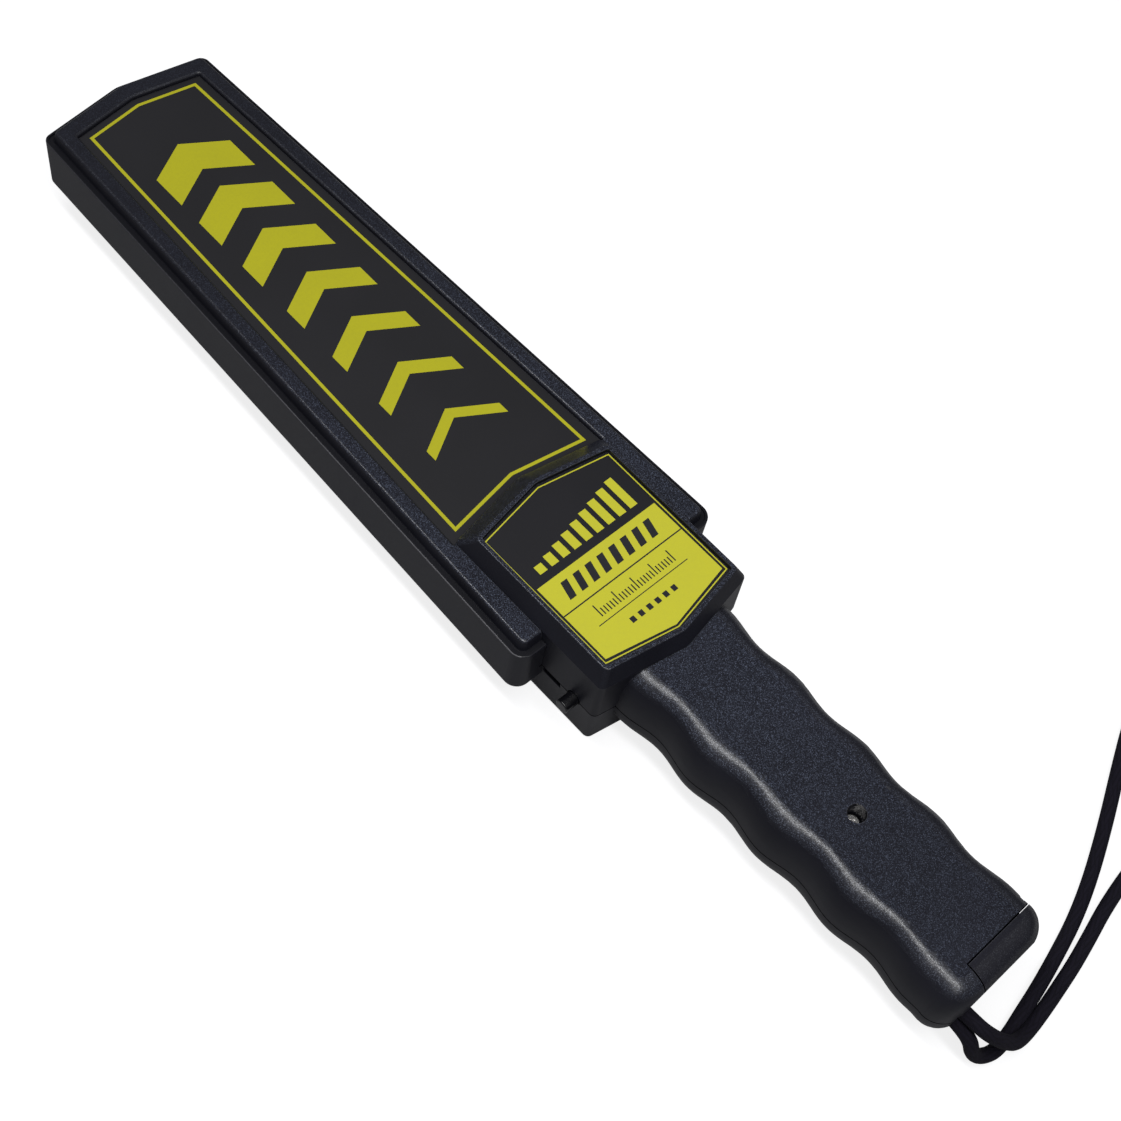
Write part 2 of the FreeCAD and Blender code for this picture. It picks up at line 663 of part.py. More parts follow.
def make_rear_shell() -> Part.Shape:
    """Rear half: the tub of the head, lower box and lower handle in one moulding."""
    plan = head_outline(0, 0, 0)
    tub = prism(plan[0], plan[1], HEAD_FLOOR_Z, LIP_Z)
    tub = tub.makeFillet(HEAD_EDGE_ROUND, level_edges(tub, HEAD_FLOOR_Z))
    tub = tub.makeFillet(LIP_ROUND, level_edges(tub, LIP_Z))
    box = box_lower(0, BOX_FLOOR_Z)
    box = box.makeFillet(BOX_BASE_ROUND, level_edges(box, BOX_FLOOR_Z))
    handle = handle_bar(HANDLE_FLOOR_Z, FLOOR_CORNER_POWER)
    handle = handle.fuse(handle_end(HANDLE_FLOOR_Z, FLOOR_CORNER_POWER, END_ROUND_FLOOR))
    shell = tub.fuse([box, handle])

    inner = head_outline(WALL, WALL, WALL)
    shell = shell.cut(prism(inner[0], inner[1], HEAD_FLOOR_Z + WALL, SHELF_Z + OVERRUN))
    rebate = head_outline(LIP_WALL, LIP_WALL, LIP_WALL)
    shell = shell.cut(prism(rebate[0], rebate[1], SHELF_Z, LIP_Z + OVERRUN))
    shell = shell.cut(box_lower(WALL, BOX_FLOOR_Z + WALL))
    shell = shell.cut(box_upper(-FIT, RIM_Z))
    shell = shell.cut(handle_hollow(HANDLE_FLOOR_Z + WALL))
    shell = shell.cut(cover_room(0))

    # bosses that carry the screw heads, and the posts under the circuit board
    floor = BOX_FLOOR_Z + WALL / 2
    for y in (-BOX_SCREW_Y, BOX_SCREW_Y):
        shell = shell.fuse(post(BOX_SCREW_D, y, floor, BOARD_Z, BOSS_R))
        shell = shell.cut(post(BOX_SCREW_D, y, BOX_FLOOR_Z - OVERRUN, BOX_SCREW_SEAT_Z, RECESS_R))
        shell = shell.cut(post(BOX_SCREW_D, y, BOX_FLOOR_Z, BOARD_Z + OVERRUN, SCREW_HOLE_R))
    for y in (-POST_Y, POST_Y):
        shell = shell.fuse(post(POST_D, y, floor, BOARD_Z, POST_R))
    for y in (-TIP_SCREW_Y, TIP_SCREW_Y):
        shell = shell.fuse(post(TIP_SCREW_D, y, HEAD_FLOOR_Z + WALL / 2, TIP_BOSS_SPLIT_Z, BOSS_R))
        shell = shell.cut(post(TIP_SCREW_D, y, HEAD_FLOOR_Z - OVERRUN, TIP_SCREW_SEAT_Z, RECESS_R))
        shell = shell.cut(post(TIP_SCREW_D, y, HEAD_FLOOR_Z, TIP_BOSS_SPLIT_Z + OVERRUN, SCREW_HOLE_R))
    floor = HANDLE_FLOOR_Z + WALL / 2
    shell = shell.fuse(post(HANDLE_SCREW_D, 0, floor, HANDLE_BOSS_SPLIT_Z, BOSS_R))
    shell = shell.cut(post(HANDLE_SCREW_D, 0, HANDLE_SCREW_TIP_Z, HANDLE_BOSS_SPLIT_Z + OVERRUN, SCREW_R))

    # grille in front of the buzzer
    shell = shell.cut(post(BUZZER_D, 0, BOX_FLOOR_Z - OVERRUN, BOX_FLOOR_Z + WALL + OVERRUN, GRILLE_HOLE_R))
    for ring in range(1, GRILLE_RINGS + 1):
        for i in range(GRILLE_FIRST_COUNT * ring):
            turn = 2 * math.pi * i / (GRILLE_FIRST_COUNT * ring)
            d = BUZZER_D + GRILLE_PITCH * ring * math.cos(turn)
            y = GRILLE_PITCH * ring * math.sin(turn)
            shell = shell.cut(post(d, y, BOX_FLOOR_Z - OVERRUN, BOX_FLOOR_Z + WALL + OVERRUN, GRILLE_HOLE_R))

    # cradle of the motor and ribs under the battery
    for d in (CRADLE_1_D, CRADLE_2_D):
        rib = block(d, d + CRADLE_T, MOTOR_Y - CRADLE_HALF_W, MOTOR_Y + CRADLE_HALF_W, floor, MOTOR_Z)
        shell = shell.fuse(rib.cut(along(d - OVERRUN, d + CRADLE_T + OVERRUN, MOTOR_Y, MOTOR_Z, MOTOR_R)))
    for d in (BATTERY_RIB_1_D, BATTERY_RIB_2_D):
        half = BATTERY_W / 2 - BATTERY_ROUND
        shell = shell.fuse(block(d, d + BATTERY_RIB_T, BATTERY_Y - half, BATTERY_Y + half, floor, BATTERY_Z))

    # rib behind which the cover's lower tongue hooks, and the tongue's way out
    _, _, lower, lower_end = tongue_levels()
    rib_d = SEAM_D - TONGUE_LEN + HOOK_T
    rib_y = SEAM_Y + TONGUE_GAP
    rib = block(rib_d, SEAM_D, rib_y, inner_half_w(SEAM_D), HANDLE_FLOOR_Z + WALL / 2, lower_end - CLEAR)
    rib = rib.common(handle_bar(HANDLE_FLOOR_Z, FLOOR_CORNER_POWER))
    shell = shell.fuse(rib)
    shell = shell.cut(tongue_path(lower_end, lower))
    shell = shell.cut(tongue_path(lower_end - HOOK_H, lower_end).common(
        block(rib_d - HOOK_T - CLEAR, rib_d, 0, HANDLE_FRONT_HALF_W + WALL, BOX_FLOOR_Z, RIM_Z)))

    shell = cut_strap_slot(shell)

    # side openings for the slide switch, the button and the jack
    half = SWITCH_SLOT_L / 2
    floor = PART_Z - SWITCH_SLOT_H
    shell = shell.cut(block(SWITCH_D - half, SWITCH_D + half, -HEAD_REAR_HALF_W, SWITCH_FRONT_Y, floor, PART_Z))
    shell = shell.cut(across(BUTTON_D, PART_Z, -HEAD_REAR_HALF_W, BUTTON_FLANGE_Y, BUTTON_R + CLEAR))
    shell = shell.cut(across(JACK_D, JACK_Z, JACK_BODY_Y, HEAD_REAR_HALF_W, JACK_BARREL_R + CLEAR))
    return shell


# Films


def make_scan_label() -> Part.Shape:
    """Film in the sunken field of the head, notched round the front of the box."""
    side = RECESS_SIDE_IN + FILM_GAP
    plan = head_outline(side, RECESS_TIP_IN + FILM_GAP, HEAD_LEN - recess_end_d() + FILM_GAP)
    film = prism(plan[0], plan[1], RECESS_Z, RECESS_Z + FILM_T)
    notch = box_outline(BOX_BELT_FRONT_D - FILM_GAP, BOX_BELT_REAR_D, HEAD_REAR_HALF_W, 0)
    return film.cut(prism(notch[0], notch[1], RECESS_Z - OVERRUN, RIM_Z))


def make_control_label() -> Part.Shape:
    """Film inside the rim of the control box."""
    plan = box_outline(BOX_RIM_FRONT_D, BOX_RIM_REAR_D, BOX_RIM_HALF_W, BOX_RIM_W + FILM_GAP)
    return prism(plan[0], plan[1], BOX_RECESS_Z, BOX_RECESS_Z + FILM_T)


# Battery end


def make_battery_cover() -> Part.Shape:
    """End cover that slides sideways off the handle, on two hooked tongues."""
    upper, upper_top, lower, lower_end = tongue_levels()
    whole = handle_end(HANDLE_TOP_Z, TOP_CORNER_POWER, END_ROUND_TOP)
    whole = whole.fuse(handle_end(HANDLE_FLOOR_Z, FLOOR_CORNER_POWER, END_ROUND_FLOOR))
    collar = []
    for z_far, power in ((HANDLE_TOP_Z, TOP_CORNER_POWER), (HANDLE_FLOOR_Z, FLOOR_CORNER_POWER)):
        wire = half_section(SEAM_D, HANDLE_END_HALF_W, HANDLE_FLAT_HALF_W, z_far, power)
        collar.append(Part.Face(wire).extrude(Vec(HANDLE_STRAIGHT_END_D - SEAM_D, 0, 0)))
    whole = whole.fuse(collar)
    cover = whole.common(cover_room(SHOW_GAP)).removeSplitter()
    side_y = BATTERY_Y + BATTERY_W / 2 + TONGUE_GAP
    back_d = LENGTH - COVER_WALL
    cover = cover.cut(block(SEAM_D, back_d, -HEAD_REAR_HALF_W, side_y, lower, upper))
    hook_d = SEAM_D - TONGUE_LEN
    y_low = SEAM_Y + SHOW_GAP
    y_high = HANDLE_END_HALF_W - END_ROUND_Y
    into = SEAM_D + COVER_WALL
    cover = cover.fuse(block(hook_d, into, y_low, y_high, upper, upper_top))
    cover = cover.fuse(block(hook_d, hook_d + HOOK_T, y_low, y_high, upper_top, upper_top + HOOK_H))
    cover = cover.fuse(block(hook_d, into, y_low, y_high, lower_end, lower))
    cover = cover.fuse(block(hook_d, hook_d + HOOK_T, y_low, y_high, lower_end - HOOK_H, lower_end))
    return cover


def battery_start_d() -> float:
    """Distance of the battery's inner face from the tip."""
    return LENGTH - COVER_WALL - BATTERY_END_GAP - BATTERY_LEN


def make_battery() -> Part.Shape:
    """Nine volt block battery with its two studs toward the box."""
    start = battery_start_d()
    half = BATTERY_W / 2
    case = block(start, start + BATTERY_LEN, BATTERY_Y - half, BATTERY_Y + half, BATTERY_Z, BATTERY_Z + BATTERY_T)
    long_edges = edges_where(case, lambda e: e.BoundBox.XLength > BATTERY_T)
    case = case.makeFillet(BATTERY_ROUND, long_edges)
    middle = BATTERY_Z + BATTERY_T / 2
    stud = along(start - STUD_H, start, BATTERY_Y - STUD_PITCH / 2, middle, STUD_R)
    socket = along(start - STUD_H, start, BATTERY_Y + STUD_PITCH / 2, middle, SOCKET_R)
    return case.fuse([stud, socket])


def make_battery_snap() -> Part.Shape:
    """Connector clipped on the battery's studs."""
    end = battery_start_d() - STUD_H
    middle = BATTERY_Z + BATTERY_T / 2
    half_w = SNAP_W / 2
    half_h = SNAP_H / 2
    plate = block(end - SNAP_T, end, BATTERY_Y - half_w, BATTERY_Y + half_w, middle - half_h, middle + half_h)
    long_edges = edges_where(plate, lambda e: e.BoundBox.XLength > SNAP_T / 2 and e.BoundBox.YLength < SNAP_T)
    return plate.makeFillet(SNAP_ROUND, long_edges)


def make_strap_anchor() -> Part.Shape:
    """Crimp block that holds both ends of the strap inside the end of the handle."""
    body = strap_slot(ANCHOR_D, ANCHOR_D + ANCHOR_L, ANCHOR_STEP, 0)
    sides = strap_slot(ANCHOR_D, ANCHOR_D + ANCHOR_L, ANCHOR_STEP, CLEAR)
    body = body.common(sides.translated(Vec(0, FIT, 0))).common(sides.translated(Vec(0, -FIT, 0)))
    return body.makeFillet(ANCHOR_ROUND, level_edges(body, body.BoundBox.ZMax))


# Screws


def screw(d: float, y: float, seat_z: float, tip_z: float) -> Part.Shape:
    """Pan head screw with a slot; its head lies beyond the seat, away from the tip."""
    up = 1 if seat_z > tip_z else -1
    axis = Vec(0, 0, up)
    head = Part.makeCylinder(SCREW_HEAD_R, SCREW_HEAD_H, Vec(at(d), y, seat_z), axis)
    top_z = seat_z + up * SCREW_HEAD_H
    head = head.makeFillet(SCREW_HEAD_ROUND, level_edges(head, top_z))
    for length, width in ((SCREW_HEAD_R, SCREW_SLOT_W), (SCREW_SLOT_W, SCREW_HEAD_R)):
        low = min(top_z - up * SCREW_SLOT_DEEP, top_z)
        cross = block(d - length / 2, d + length / 2, y - width / 2, y + width / 2, low, low + SCREW_SLOT_DEEP)
        head = head.cut(cross)
    shank = Part.makeCylinder(SCREW_R, abs(seat_z - tip_z), Vec(at(d), y, seat_z), -axis)
    return head.fuse(shank)


def make_handle_screw() -> Part.Shape:
    """Screw deep in the recess on top of the handle."""
    return screw(HANDLE_SCREW_D, 0, HANDLE_BOSS_SPLIT_Z + BOSS_SEAT_T, HANDLE_SCREW_TIP_Z)


def make_rear_screws() -> Part.Shape:
    """Four screws driven from behind: two in the box, two near the tip of the head."""
    solids = []
    for side in (-1, 1):
        solids.append(screw(BOX_SCREW_D, side * BOX_SCREW_Y, BOX_SCREW_SEAT_Z, BOX_SCREW_TIP_Z))
        solids.append(screw(TIP_SCREW_D, side * TIP_SCREW_Y, TIP_SCREW_SEAT_Z, TIP_SCREW_TIP_Z))
    return Part.makeCompound(solids)


# Electronics


def make_circuit_board() -> Part.Shape:
    """Circuit board on the posts of the lower box."""
    plan = box_outline(BOX_BASE_FRONT_D, BOX_BASE_REAR_D, BOX_BASE_HALF_W, BOARD_IN)
    board = prism(plan[0], plan[1], BOARD_Z, BOARD_Z + BOARD_T)
    for y in (-BOX_SCREW_Y, BOX_SCREW_Y):
        board = board.cut(post(BOX_SCREW_D, y, BOARD_Z - OVERRUN, BOARD_Z + BOARD_T + OVERRUN, SCREW_HOLE_R))
    return board


def board_top() -> float:
    """Height of the board's upper face."""
    return BOARD_Z + BOARD_T


def make_board_chips() -> Part.Shape:
    """Two long chips side by side on the board."""
    solids = []
    for i in range(CHIP_COUNT):
        y = CHIP_Y + CHIP_PITCH * i
        low, high = board_top(), board_top() + CHIP_T
        solids.append(block(CHIP_D, CHIP_D + CHIP_L, y - CHIP_W / 2, y + CHIP_W / 2, low, high))
    return Part.makeCompound(solids)


def make_capacitors() -> Part.Shape:
    """Standing capacitors in a row."""
    solids = []
    for i in range(CAP_COUNT):
        solids.append(post(CAP_D + CAP_PITCH * i, CAP_Y, board_top(), board_top() + CAP_H, CAP_R))
    return Part.makeCompound(solids)


def make_board_headers() -> Part.Shape:
    """Plug headers for the coil's cable and the battery's leads."""
    half = HEADER_W / 2
    top = board_top() + HEADER_H
    coil = block(COIL_HEADER_D, COIL_HEADER_D + HEADER_L, -half, half, board_top(), top)
    low = BATTERY_HEADER_Y - half
    battery = block(BATTERY_HEADER_D, BATTERY_HEADER_D + HEADER_L, low, low + HEADER_W, board_top(), top)
    return Part.makeCompound([coil, battery])


def make_trimmer() -> Part.Shape:
    """Square body of the trimmer, with the pocket that its rotor turns in."""
    half = TRIM_W / 2
    top = board_top() + TRIM_H
    body = block(TRIM_D - half, TRIM_D + half, TRIM_Y - half, TRIM_Y + half, board_top(), top)
    return body.cut(post(TRIM_D, TRIM_Y, top - TRIM_POCKET, top + OVERRUN, TRIM_ROTOR_R + RUN_FIT))


def make_trimmer_rotor() -> Part.Shape:
    """Slotted rotor of the trimmer."""
    low = board_top() + TRIM_H - TRIM_POCKET
    high = low + TRIM_ROTOR_H
    rotor = post(TRIM_D, TRIM_Y, low, high, TRIM_ROTOR_R)
    half = TRIM_SLOT_W / 2
    reach = TRIM_ROTOR_R + OVERRUN
    low = high - TRIM_SLOT_DEEP
    return rotor.cut(block(TRIM_D - reach, TRIM_D + reach, TRIM_Y - half, TRIM_Y + half, low, high + OVERRUN))


def make_buzzer() -> Part.Shape:
    """Round buzzer that stands on the floor of the box, over the grille."""
    low = BOX_FLOOR_Z + WALL
    return post(BUZZER_D, 0, low, low + BUZZER_H, BUZZER_R).fuse(
        post(BUZZER_D, 0, low + BUZZER_H, low + BUZZER_H + BUZZER_HUB_H, BUZZER_HUB_R))


def make_slide_switch() -> Part.Shape:
    """Body of the slide switch, slotted for the knob's stem."""
    half = SWITCH_L / 2
    back = SWITCH_FRONT_Y + SWITCH_DEEP
    body = block(SWITCH_D - half, SWITCH_D + half, SWITCH_FRONT_Y, back, board_top(), board_top() + SWITCH_H)
    reach = KNOB_STEM_L / 2 + KNOB_TRAVEL + FIT
    rise = KNOB_STEM_H / 2 + FIT
    slot = block(
        SWITCH_D - reach, SWITCH_D + reach, SWITCH_FRONT_Y - OVERRUN, SWITCH_FRONT_Y + KNOB_STEM_DEEP + FIT,
        KNOB_Z - rise, KNOB_Z + rise)
    return body.cut(slot)


def make_slide_knob() -> Part.Shape:
    """Knob of the slide switch, sunk in its slot, with its stem in the switch."""
    half = KNOB_L / 2
    low, high = KNOB_Z - KNOB_H / 2, KNOB_Z + KNOB_H / 2
    cap = block(SWITCH_D - half, SWITCH_D + half, KNOB_FACE_Y, SWITCH_FRONT_Y, low, high)
    half = KNOB_STEM_L / 2
    rise = KNOB_STEM_H / 2
    return cap.fuse(block(
        SWITCH_D - half, SWITCH_D + half, SWITCH_FRONT_Y, SWITCH_FRONT_Y + KNOB_STEM_DEEP, KNOB_Z - rise, KNOB_Z + rise))


def make_push_button() -> Part.Shape:
    """Round push button with its flange inside the wall and its stem in the switch behind."""
    cap = across(BUTTON_D, PART_Z, BUTTON_FACE_Y, BUTTON_FLANGE_Y, BUTTON_R)
    face_edge = edges_where(cap, lambda e: abs(e.BoundBox.YMax - BUTTON_FACE_Y) < BUTTON_ROUND)
    cap = cap.makeFillet(BUTTON_ROUND, face_edge)
    flange_end = BUTTON_FLANGE_Y + BUTTON_FLANGE_T
    flange = across(BUTTON_D, PART_Z, BUTTON_FLANGE_Y, flange_end, BUTTON_FLANGE_R)
    stem = across(BUTTON_D, PART_Z, flange_end, BUTTON_STEM_END_Y, BUTTON_STEM_R)
    return cap.fuse([flange, stem])


def make_push_switch() -> Part.Shape:
    """Push switch on the board, behind the button, bored for its stem."""
    half = TACT_L / 2
    top = PART_Z + BUTTON_STEM_R + TACT_OVER_STEM
    body = block(BUTTON_D - half, BUTTON_D + half, TACT_FRONT_Y, TACT_FRONT_Y + TACT_DEEP, board_top(), top)
    end = BUTTON_STEM_END_Y + BUTTON_TRAVEL + CLEAR
    return body.cut(across(BUTTON_D, PART_Z, TACT_FRONT_Y - OVERRUN, end, BUTTON_STEM_R + CLEAR))


def make_jack_socket() -> Part.Shape:
    """Jack on the +Y side, bored for a small round plug."""
    half = JACK_L / 2
    body = block(JACK_D - half, JACK_D + half, JACK_INNER_Y, JACK_BODY_Y, board_top(), board_top() + JACK_H)
    barrel = across(JACK_D, JACK_Z, JACK_BODY_Y, JACK_FACE_Y, JACK_BARREL_R)
    bore = across(JACK_D, JACK_Z, JACK_FACE_Y - JACK_BORE_DEEP, JACK_FACE_Y + OVERRUN, JACK_BORE_R)
    return body.fuse(barrel).cut(bore)


def make_vibration_motor() -> Part.Shape:
    """Can of the vibration motor, bored for its shaft."""
    end = MOTOR_D + MOTOR_LEN
    can = along(MOTOR_D, end, MOTOR_Y, MOTOR_Z, MOTOR_R)
    return can.cut(along(end - MOTOR_SHAFT_IN, end + OVERRUN, MOTOR_Y, MOTOR_Z, MOTOR_SHAFT_R + MOTOR_SHAFT_FIT))


def make_motor_weight() -> Part.Shape:
    """Half-round weight on the motor's shaft."""
    end = MOTOR_D + MOTOR_LEN
    start = end + WEIGHT_GAP
    shaft = along(end - MOTOR_SHAFT_IN, start + WEIGHT_T, MOTOR_Y, MOTOR_Z, MOTOR_SHAFT_R)
    disc = along(start, start + WEIGHT_T, MOTOR_Y, MOTOR_Z, WEIGHT_R)
    half = block(start, start + WEIGHT_T, MOTOR_Y - WEIGHT_R, MOTOR_Y + WEIGHT_R, MOTOR_Z - WEIGHT_R, MOTOR_Z)
    return disc.common(half).fuse(shaft)


# Search coils


def ring_plan(outer_in: float, width: float) -> tuple:
    """Outer and inner outline of a band that follows the head, a given way in."""
    extra = outer_in - FORMER_IN
    outer = head_outline(outer_in, FORMER_TIP_IN + extra, FORMER_REAR_IN + extra)
    extra += width
    inner = head_outline(outer_in + width, FORMER_TIP_IN + extra, FORMER_REAR_IN + extra)
    return outer, inner


def ring(outer_in: float, width: float, z_low: float, z_high: float) -> Part.Shape:
    """Flat band that follows the head."""
    outer, inner = ring_plan(outer_in, width)
    solid = prism(outer[0], outer[1], z_low, z_high)
    return solid.cut(prism(inner[0], inner[1], z_low - OVERRUN, z_high + OVERRUN))


def coil_levels() -> tuple:
    """Lower and upper height of both windings."""
    middle = (FORMER_Z + FORMER_TOP_Z) / 2
    return middle - COIL_H / 2, middle + COIL_H / 2


def make_coil_former() -> Part.Shape:
    """Frame with a groove round its outside and one round its inside, for the two coils."""
    low, high = coil_levels()
    frame = ring(FORMER_IN, FORMER_RING_W, FORMER_Z, FORMER_TOP_Z)
    frame = frame.cut(ring(FORMER_IN - OVERRUN, COIL_DEEP + COIL_SINK + OVERRUN, low, high))
    inner_in = FORMER_IN + FORMER_RING_W - COIL_DEEP - COIL_SINK
    return frame.cut(ring(inner_in, COIL_DEEP + COIL_SINK + OVERRUN, low, high))


def make_transmit_coil() -> Part.Shape:
    """Winding in the outer groove."""
    low, high = coil_levels()
    return ring(FORMER_IN + COIL_SINK, COIL_DEEP, low, high)


def make_receive_coil() -> Part.Shape:
    """Winding in the inner groove."""
    low, high = coil_levels()
    return ring(FORMER_IN + FORMER_RING_W - COIL_DEEP - COIL_SINK, COIL_DEEP, low, high)


def make_rear_foam() -> Part.Shape:
    """Foam between the floor of the head and the former."""
    return ring(PAD_IN, FORMER_RING_W + FORMER_IN - PAD_IN, HEAD_FLOOR_Z + WALL, FORMER_Z)


def make_front_foam() -> Part.Shape:
    """Foam between the former and the front panel."""
    return ring(PAD_IN, FORMER_RING_W + FORMER_IN - PAD_IN, FORMER_TOP_Z, PANEL_UNDER_Z)


# Cords


def cord(name: str, route: list, radius: float) -> Part.Shape:
    """Round cord along straight runs joined by tangent arcs; prints its length and tightest arc."""
    points = [Vec(at(d), y, z) for d, y, z in route]
    edges = []
    start = points[0]
    tightest = None
    for i in range(1, len(points) - 1):
        into = (points[i - 1] - points[i])
        out = (points[i + 1] - points[i])
        shorter = min(into.Length, out.Length)
        one = Vec(into).normalize()
        two = Vec(out).normalize()
        half = math.acos(max(-1, min(1, one.dot(two)))) / 2
        reach = BEND_SHARE * shorter
        bend = reach * math.tan(half)
        bisector = (one + two).normalize()
        centre = points[i] + bisector * (bend / math.sin(half))
        entry = points[i] + one * reach
        leave = points[i] + two * reach
        edges.append(Part.LineSegment(start, entry).toShape())
        edges.append(Part.Arc(entry, centre - bisector * bend, leave).toShape())
        start = leave
        tightest = bend if tightest is None else min(tightest, bend)
    edges.append(Part.LineSegment(start, points[-1]).toShape())
    wire = Part.Wire(edges)
    heading = points[1] - points[0]
    profile = Part.Wire([Part.makeCircle(radius, points[0], heading)])
    solid = wire.makePipeShell([profile], True, False)
    straight = math.pi * radius ** 2 * wire.Length
    print(name, "length", round(wire.Length, 1), "tightest arc", round(tightest, 1),
          "volume over section times length", round(solid.Volume / straight, 4))
    return solid


def make_wrist_strap() -> Part.Shape:
    """Round braided strap: out of the handle, a loop on the ground, and back in beside itself."""
    start_d = ANCHOR_D + ANCHOR_L
    route = [
        (start_d, STRAP_HIGH_Y, STRAP_HIGH_Z),
        (426.0, STRAP_HIGH_Y, STRAP_HIGH_Z),
        (431.4, -7.4, 13.6),
        (431.9, 0.8, 5.7),
        (431.2, 9.4, STRAP_R),
        (429.7, 19.0, STRAP_R),
        (427.4, 30.0, STRAP_R),
        (423.9, 43.0, STRAP_R),
        (418.6, 61.0, STRAP_R),
        (410.0, 80.0, STRAP_R),
        (401.0, 98.0, STRAP_R),
        (392.0, 117.0, STRAP_R),
        (389.0, 134.0, STRAP_R),
        (396.0, 147.0, STRAP_R),
        (410.0, 150.0, STRAP_R),
        (421.0, 141.0, STRAP_R),
        (425.5, 124.0, STRAP_R),
        (426.2, 105.0, STRAP_R),
        (426.4, 83.0, STRAP_R),
        (427.6, 60.0, STRAP_R),
        (431.0, 43.5, STRAP_R),
        (433.6, 31.0, STRAP_R),
        (435.4, 20.0, STRAP_R),
        (436.5, 11.0, STRAP_R),
        (436.3, 2.0, STRAP_R),
        (434.4, -7.4, STRAP_R),
        (430.0, -13.4, 7.8),
        (424.8, STRAP_LOW_Y, STRAP_LOW_Z),
        (start_d, STRAP_LOW_Y, STRAP_LOW_Z),
    ]
    return cord("wrist_strap", route, STRAP_R)


def make_battery_lead(side: int) -> Part.Shape:
    """One of the two leads from the snap connector to its header."""
    snap_d = battery_start_d() - STUD_H - SNAP_T
    header_d = BATTERY_HEADER_D + HEADER_L
    shift = side * LEAD_PITCH / 2
    middle = BATTERY_Z + BATTERY_T / 2
    route = [
        (snap_d, 9.5 + shift, middle),
        (356.0, 9.5 + shift, middle),
        (344.0, 9.8 + shift, 16.4),
        (328.0, 8.0 + shift, 12.6),
        (312.0, 6.0 + shift, 12.2),
        (299.0, 2.6 + shift, 14.0),
        (289.0, BATTERY_HEADER_Y + shift, board_top() + HEADER_H / 2),
        (header_d, BATTERY_HEADER_Y + shift, board_top() + HEADER_H / 2),
    ]
    return cord("battery_lead", route, LEAD_R)


def make_coil_cable() -> Part.Shape:
    """Screened cable from the coil former to its header on the board."""
    former_d = HEAD_LEN - FORMER_REAR_IN
    route = [
        (former_d, 0, FORMER_TOP_Z - COIL_CABLE_DROP),
        (211.5, 0, FORMER_TOP_Z - COIL_CABLE_DROP),
        (217.0, 1.0, 22.0),
        (220.0, 0, board_top() + HEADER_H / 2),
        (COIL_HEADER_D, 0, board_top() + HEADER_H / 2),
    ]
    return cord("coil_cable", route, COIL_CABLE_R)


PARTS = {
    "front_shell": make_front_shell,
    "rear_shell": make_rear_shell,
    "scan_label": make_scan_label,
    "control_label": make_control_label,
    "battery_cover": make_battery_cover,
    "battery": make_battery,
    "battery_snap": make_battery_snap,
    "battery_lead_red": lambda: make_battery_lead(1),
    "battery_lead_black": lambda: make_battery_lead(-1),
    "strap_anchor": make_strap_anchor,
    "wrist_strap": make_wrist_strap,
    "handle_screw": make_handle_screw,
    "rear_screws": make_rear_screws,
    "circuit_board": make_circuit_board,
    "board_chips": make_board_chips,
    "capacitors": make_capacitors,
    "board_headers": make_board_headers,
    "trimmer": make_trimmer,
    "trimmer_rotor": make_trimmer_rotor,
    "buzzer": make_buzzer,
    "slide_switch": make_slide_switch,
    "slide_knob": make_slide_knob,
    "push_switch": make_push_switch,
    "push_button": make_push_button,
    "jack_socket": make_jack_socket,
    "vibration_motor": make_vibration_motor,
    "motor_weight": make_motor_weight,
    "coil_former": make_coil_former,
    "transmit_coil": make_transmit_coil,
    "receive_coil": make_receive_coil,
    "rear_foam": make_rear_foam,
    "front_foam": make_front_foam,
    "coil_cable": make_coil_cable,
}


def main() -> None:
    """Build every piece and write it as its own STEP file."""
    os.makedirs("parts", exist_ok=True)
    for name, make in PARTS.items():
        shape = make()
        box = shape.BoundBox
        print(name, "solids", len(shape.Solids), "valid", shape.isValid(), "volume", round(shape.Volume, 1),
              [round(v, 2) for v in (box.XMin, box.XMax, box.YMin, box.YMax, box.ZMin, box.ZMax)])
        shape.exportStep("parts/" + name + ".step")


main()
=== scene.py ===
"""Looks of the handheld metal detector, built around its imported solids.

Everything is in metres in the detector's own frame: +X from the tip of the head to the end of the
handle, +Z out of the printed face, and the switch and the button on the -Y side. A distance from
the tip turns into an X place with at().
"""

import logging
import math
from dataclasses import dataclass
from enum import Enum

import bmesh
import bpy
from mathutils import Matrix, Vector


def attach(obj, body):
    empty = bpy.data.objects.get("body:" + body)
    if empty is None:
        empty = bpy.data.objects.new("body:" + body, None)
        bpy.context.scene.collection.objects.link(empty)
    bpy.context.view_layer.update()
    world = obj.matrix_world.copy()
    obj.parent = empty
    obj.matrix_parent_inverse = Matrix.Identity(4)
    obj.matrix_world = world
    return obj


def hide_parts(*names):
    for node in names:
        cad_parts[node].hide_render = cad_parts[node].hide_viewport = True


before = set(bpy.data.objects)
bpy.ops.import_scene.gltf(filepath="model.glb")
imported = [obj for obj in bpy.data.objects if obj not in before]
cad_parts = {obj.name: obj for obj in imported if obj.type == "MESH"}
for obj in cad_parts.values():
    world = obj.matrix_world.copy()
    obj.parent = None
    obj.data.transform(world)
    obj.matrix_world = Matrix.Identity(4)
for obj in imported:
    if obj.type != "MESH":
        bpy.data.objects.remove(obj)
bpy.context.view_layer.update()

log = logging.getLogger("detector")

MM = 0.001
HALF_LENGTH = 210.0
BODY = "detector"

# A Point is X, Y and Z, a Flat is a distance from the tip and Y, and a Span is low and high
Colour = tuple[float, float, float]
Point = tuple[float, float, float]
Flat = tuple[float, float]
Span = tuple[float, float]

CLOUD: Span = (0.3, 0.8)
SAME_PLACE = 1e-6


